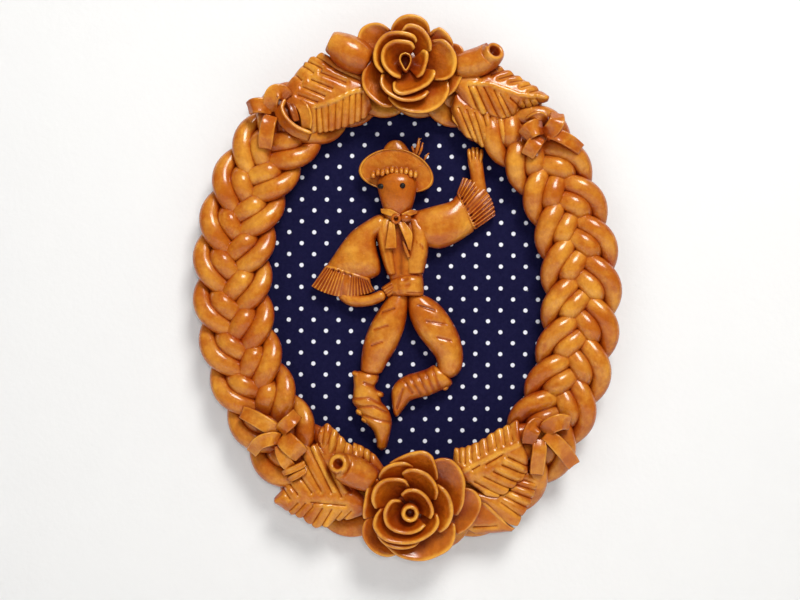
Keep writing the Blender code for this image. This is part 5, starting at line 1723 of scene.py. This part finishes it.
def bottom_leaves() -> list[Leaf]:
    """Return the four leaves beside the bottom rose; every edge line runs from base to tip."""
    left = Blade(
        [(-20.5, -103.0), (-26.8, -96.9), (-31.6, -90.8), (-37.1, -84.6), (-40.7, -79.5), (-43.9, -75.0),
            (-46.4, -77.0), (-49.4, -76.4), (-50.8, -83.6), (-52.6, -89.0), (-56.8, -93.8), (-59.2, -98.1),
            (-64.4, -103.8)],
        [(-20.5, -110.0), (-29.0, -113.6), (-34.6, -114.2), (-38.3, -117.2), (-42.0, -117.6), (-45.5, -117.2),
            (-50.4, -113.0), (-54.0, -111.8), (-57.0, -110.3), (-60.2, -107.0), (-64.2, -104.4)],
        [
            (-57.6, -94.4, -52.8, -100.5), (-53.6, -88.8, -46.1, -99.5), (-50.6, -83.0, -41.4, -99.0),
            (-47.6, -76.6, -36.5, -99.3), (-44.4, -75.6, -31.6, -101.5), (-41.4, -77.8, -27.6, -99.0),
            (-60.0, -97.4, -56.6, -102.6), (-52.8, -104.7, -57.6, -109.4), (-49.2, -104.9, -54.8, -111.2),
            (-45.5, -106.4, -50.8, -112.9), (-40.9, -107.4, -46.6, -116.6), (-36.5, -108.0, -42.2, -118.0),
            (-31.6, -109.0, -38.0, -117.6), (-27.0, -108.6, -32.6, -115.0), (-46.5, -104.3, -29.8, -105.9),
        ],
        [(-46.0, -78.0, -35.0, -98.5), (-42.6, -77.0, -29.8, -99.0)],
        15.6, 1.4, (3.0, 3.4),
    )
    small = Blade(
        [(-20.0, -86.0), (-24.0, -79.6), (-29.8, -75.0), (-34.4, -70.0), (-38.6, -66.6), (-42.0, -69.5)],
        [(-22.0, -92.0), (-29.0, -90.0), (-35.0, -87.0), (-39.0, -83.0), (-42.0, -77.5), (-43.0, -72.0)],
        [(-26.0, -78.4, -27.6, -88.0), (-29.8, -75.4, -31.8, -86.0), (-33.4, -72.0, -35.2, -82.0),
            (-36.6, -69.4, -38.8, -79.0), (-40.0, -68.4, -41.0, -76.0)],
        [(-35.0, -70.0, -37.0, -80.0)],
        13.6, 1.0, (2.6, 1.0), 0.5, 0.9,
    )
    fringe = Blade(
        [(-12.0, -88.0), (-15.9, -81.8), (-19.4, -79.2), (-23.4, -77.0), (-26.4, -76.4)],
        [(-12.5, -92.0), (-17.0, -90.0), (-21.0, -88.0), (-24.5, -86.0), (-27.0, -82.0)],
        [(-17.6, -80.6, -18.6, -90.0), (-20.8, -78.6, -21.6, -88.0), (-24.0, -77.0, -24.6, -86.0)],
        [(-19.2, -80.0, -20.0, -88.0)],
        12.6, 0.6, (2.0, 1.0), 0.45, 0.8,
    )
    upper = Blade(
        [(26.0, -88.5), (23.3, -83.6), (23.6, -78.3), (28.2, -77.7), (34.9, -74.9), (38.5, -72.8),
            (42.2, -70.1), (46.4, -68.0), (50.0, -66.4), (53.8, -64.6), (54.2, -71.0), (56.2, -77.0),
            (57.6, -81.0)],
        [(27.0, -92.0), (31.3, -96.6), (39.1, -101.4), (44.6, -102.6), (49.0, -99.8), (52.8, -96.6),
            (56.0, -93.8), (58.2, -91.0), (58.6, -88.0), (58.2, -84.0)],
        [
            (25.6, -78.0, 26.0, -85.0), (28.6, -76.8, 28.4, -85.4), (31.6, -76.0, 31.8, -83.6),
            (35.0, -74.2, 35.8, -81.6),
            (38.8, -72.0, 39.7, -79.8), (42.6, -69.4, 43.7, -77.9), (46.8, -67.2, 47.8, -76.0),
            (50.2, -65.6, 51.6, -74.4),
            (38.5, -86.0, 46.4, -81.2), (32.0, -88.2, 35.0, -86.4), (49.0, -82.4, 58.6, -87.0),
            (46.0, -86.2, 58.0, -91.2),
            (42.0, -89.4, 54.6, -95.4), (37.4, -91.8, 51.0, -98.6), (33.0, -94.4, 46.6, -101.8),
            (30.2, -95.4, 36.0, -99.6),
        ],
        [(27.6, -89.2, 36.7, -84.4), (36.7, -84.4, 44.6, -80.6), (44.6, -80.6, 54.9, -75.9),
            (47.4, -84.0, 56.0, -88.4), (43.6, -88.0, 54.0, -92.8)],
        15.8, 1.6, (4.2, 2.4),
    )
    lower = Blade(
        [(32.0, -100.0), (38.0, -101.0), (44.6, -102.0), (49.0, -99.6), (52.8, -95.6), (56.0, -92.0),
            (58.8, -90.4), (63.6, -93.4)],
        [(33.0, -103.0), (39.7, -105.3), (45.2, -111.0), (50.0, -115.4), (53.8, -116.4), (56.9, -110.4),
            (58.2, -108.8), (60.6, -104.6), (62.0, -100.6), (63.8, -94.4)],
        [
            (54.0, -93.0, 63.6, -95.9), (51.6, -95.8, 62.6, -99.0), (49.4, -98.8, 61.6, -103.4),
            (48.0, -102.0, 59.4, -107.8),
            (46.0, -105.0, 56.6, -112.4),
        ],
        [(52.0, -97.2, 61.6, -101.0), (50.0, -100.4, 60.0, -105.6)],
        13.8, 1.0, (1.4, 1.6), 0.46, 1.1,
    )
    folded = Blade(
        [(32.0, -101.0), (36.7, -103.6), (39.7, -105.3), (45.2, -111.4), (50.4, -116.4), (52.6, -117.6)],
        [(26.0, -112.0), (29.0, -118.0), (34.0, -120.6), (40.0, -120.0), (46.0, -119.6), (51.4, -118.8)],
        [(33.0, -117.0, 44.0, -116.4)],
        [(36.0, -103.6, 45.2, -111.8), (45.2, -111.8, 52.0, -117.2)],
        12.4, 0.6, (0.2, 3.5),
    )
    return [
        Leaf("bottom_left_leaf", [left]),
        Leaf("bottom_left_small_leaf", [small, fringe]),
        Leaf("bottom_right_upper_leaf", [upper]),
        Leaf("bottom_right_lower_leaf", [lower, folded]),
    ]


def bows() -> list[Bow]:
    """Return the four bows, each ribbon from the sunken middle outwards."""
    return [
        Bow("top_left_bow", [
            Ribbon([(-65.0, 86.5, 16.5), (-69.0, 87.4, 20.2), (-73.6, 87.2, 20.8), (-76.8, 86.4, 17.2)], 7.6),
            Ribbon([(-65.5, 84.5, 16.5), (-65.6, 89.0, 20.6), (-63.6, 93.2, 22.0), (-60.4, 93.8, 21.2),
                    (-57.6, 91.0, 17.5)], 7.8),
            Ribbon([(-60.4, 91.0, 18.0), (-61.8, 86.2, 18.8), (-59.6, 80.6, 19.0), (-54.6, 75.8, 18.6),
                    (-46.6, 72.6, 17.4)], 7.0, -48, 2.0),
            # A narrow strip inside the ring, painted dark as the shade of the fold.
            Ribbon([(-57.4, 90.2, 15.8), (-55.2, 86.0, 17.0), (-53.4, 80.0, 16.8)], 4.2, 10, 2.6, -0.6),
            Ribbon([(-52.6, 89.6, 17.2), (-49.8, 86.0, 18.0), (-48.6, 81.5, 17.5), (-48.8, 76.6, 16.2)], 6.0,
                -12, 1.7, 0.15),
            Ribbon([(-65.4, 83.0, 17.6), (-66.6, 79.0, 19.8), (-67.8, 72.5, 19.6), (-68.6, 66.8, 16.8)], 7.6),
        ]),
        Bow("top_right_bow", [
            Ribbon([(66.0, 77.6, 16.5), (62.4, 77.0, 20.6), (59.0, 75.2, 21.2), (56.2, 72.6, 17.6)], 8.4),
            Ribbon([(66.6, 73.6, 16.5), (69.6, 75.6, 20.4), (72.0, 79.6, 21.6), (72.8, 84.0, 17.8)], 8.0),
            Ribbon([(68.0, 74.6, 18.0), (73.6, 72.8, 20.0), (79.4, 69.8, 19.2), (84.8, 66.6, 15.6)], 6.6),
            Ribbon([(64.2, 72.8, 17.8), (62.0, 69.8, 19.6), (60.2, 67.0, 19.2), (58.2, 63.4, 16.8)], 7.6),
            Ribbon([(67.4, 80.4, 17.0), (65.0, 82.2, 19.8), (62.0, 82.0, 20.2), (58.6, 80.4, 17.6)], 4.6, 30),
        ]),
        Bow("bottom_left_bow", [
            Ribbon([(-62.0, -70.5, 17.0), (-66.5, -67.2, 19.6), (-73.0, -63.4, 19.0), (-80.4, -60.4, 15.6)],
                7.6),
            Ribbon([(-61.2, -73.6, 16.5), (-65.0, -73.0, 20.8), (-70.6, -74.8, 21.4), (-75.4, -80.6, 16.6)],
                7.0),
            Ribbon([(-61.4, -70.6, 16.5), (-59.2, -67.4, 20.8), (-56.0, -64.4, 21.4), (-52.6, -61.0, 17.8)],
                7.0),
            Ribbon([(-60.6, -72.0, 17.0), (-57.4, -74.8, 20.4), (-53.6, -78.2, 21.2), (-50.6, -81.4, 18.4)],
                9.8),
            Ribbon([(-61.6, -76.0, 17.0), (-60.2, -80.4, 19.6), (-58.0, -84.6, 19.8), (-56.0, -87.4, 17.4)],
                6.4),
            Ribbon([(-60.2, -90.4, 16.4), (-56.8, -88.8, 18.8), (-52.6, -87.0, 19.4), (-48.8, -85.2, 18.8)],
                3.2),
            Ribbon([(-57.2, -93.4, 16.6), (-54.4, -91.8, 18.8), (-51.6, -90.2, 19.2), (-48.6, -88.6, 18.6)],
                3.0),
        ]),
        Bow("bottom_right_bow", [
            Ribbon([(66.0, -70.4, 17.0), (69.0, -66.8, 21.0), (73.6, -64.8, 21.8), (79.2, -65.8, 17.6)], 8.2),
            Ribbon([(65.0, -68.2, 16.5), (62.0, -66.6, 20.8), (59.8, -69.6, 22.2), (58.8, -76.0, 17.8)], 8.0),
            Ribbon([(67.0, -70.6, 18.0), (71.6, -74.6, 20.2), (76.6, -80.2, 19.2), (81.4, -86.8, 15.6)], 7.8),
            Ribbon([(64.2, -73.2, 17.8), (64.0, -78.6, 19.6), (63.4, -84.0, 19.0), (62.8, -91.0, 17.0)], 7.4),
        ]),
    ]


def main() -> None:
    """Build the plaque from the wall forwards, dress it, and set the stage."""
    logging.basicConfig(level=logging.INFO, format="%(message)s")
    oval = Oval()
    dough, bead = DoughFinish().material(), BeadFinish().material()
    BackingBoard(oval).build(BoardFinish().material())
    ClothPanel(oval).build(CottonFinish().material())
    BraidedFrame(oval).build(dough)
    Dancer().build(dough)
    for eye in (Eye("left_eye", -12.5, 49.3, 12.1, 1.25, 1.1, 0.45),
        Eye("right_eye", -2.0, 49.4, 14.6, 1.35)):
        eye.build(bead)
    for part in [top_rose(), bottom_rose(), *buds(), *top_leaves(), *bottom_leaves(), *bows()]:
        part.build(dough)
    Studio().build()


if __name__ == "__main__":
    main()
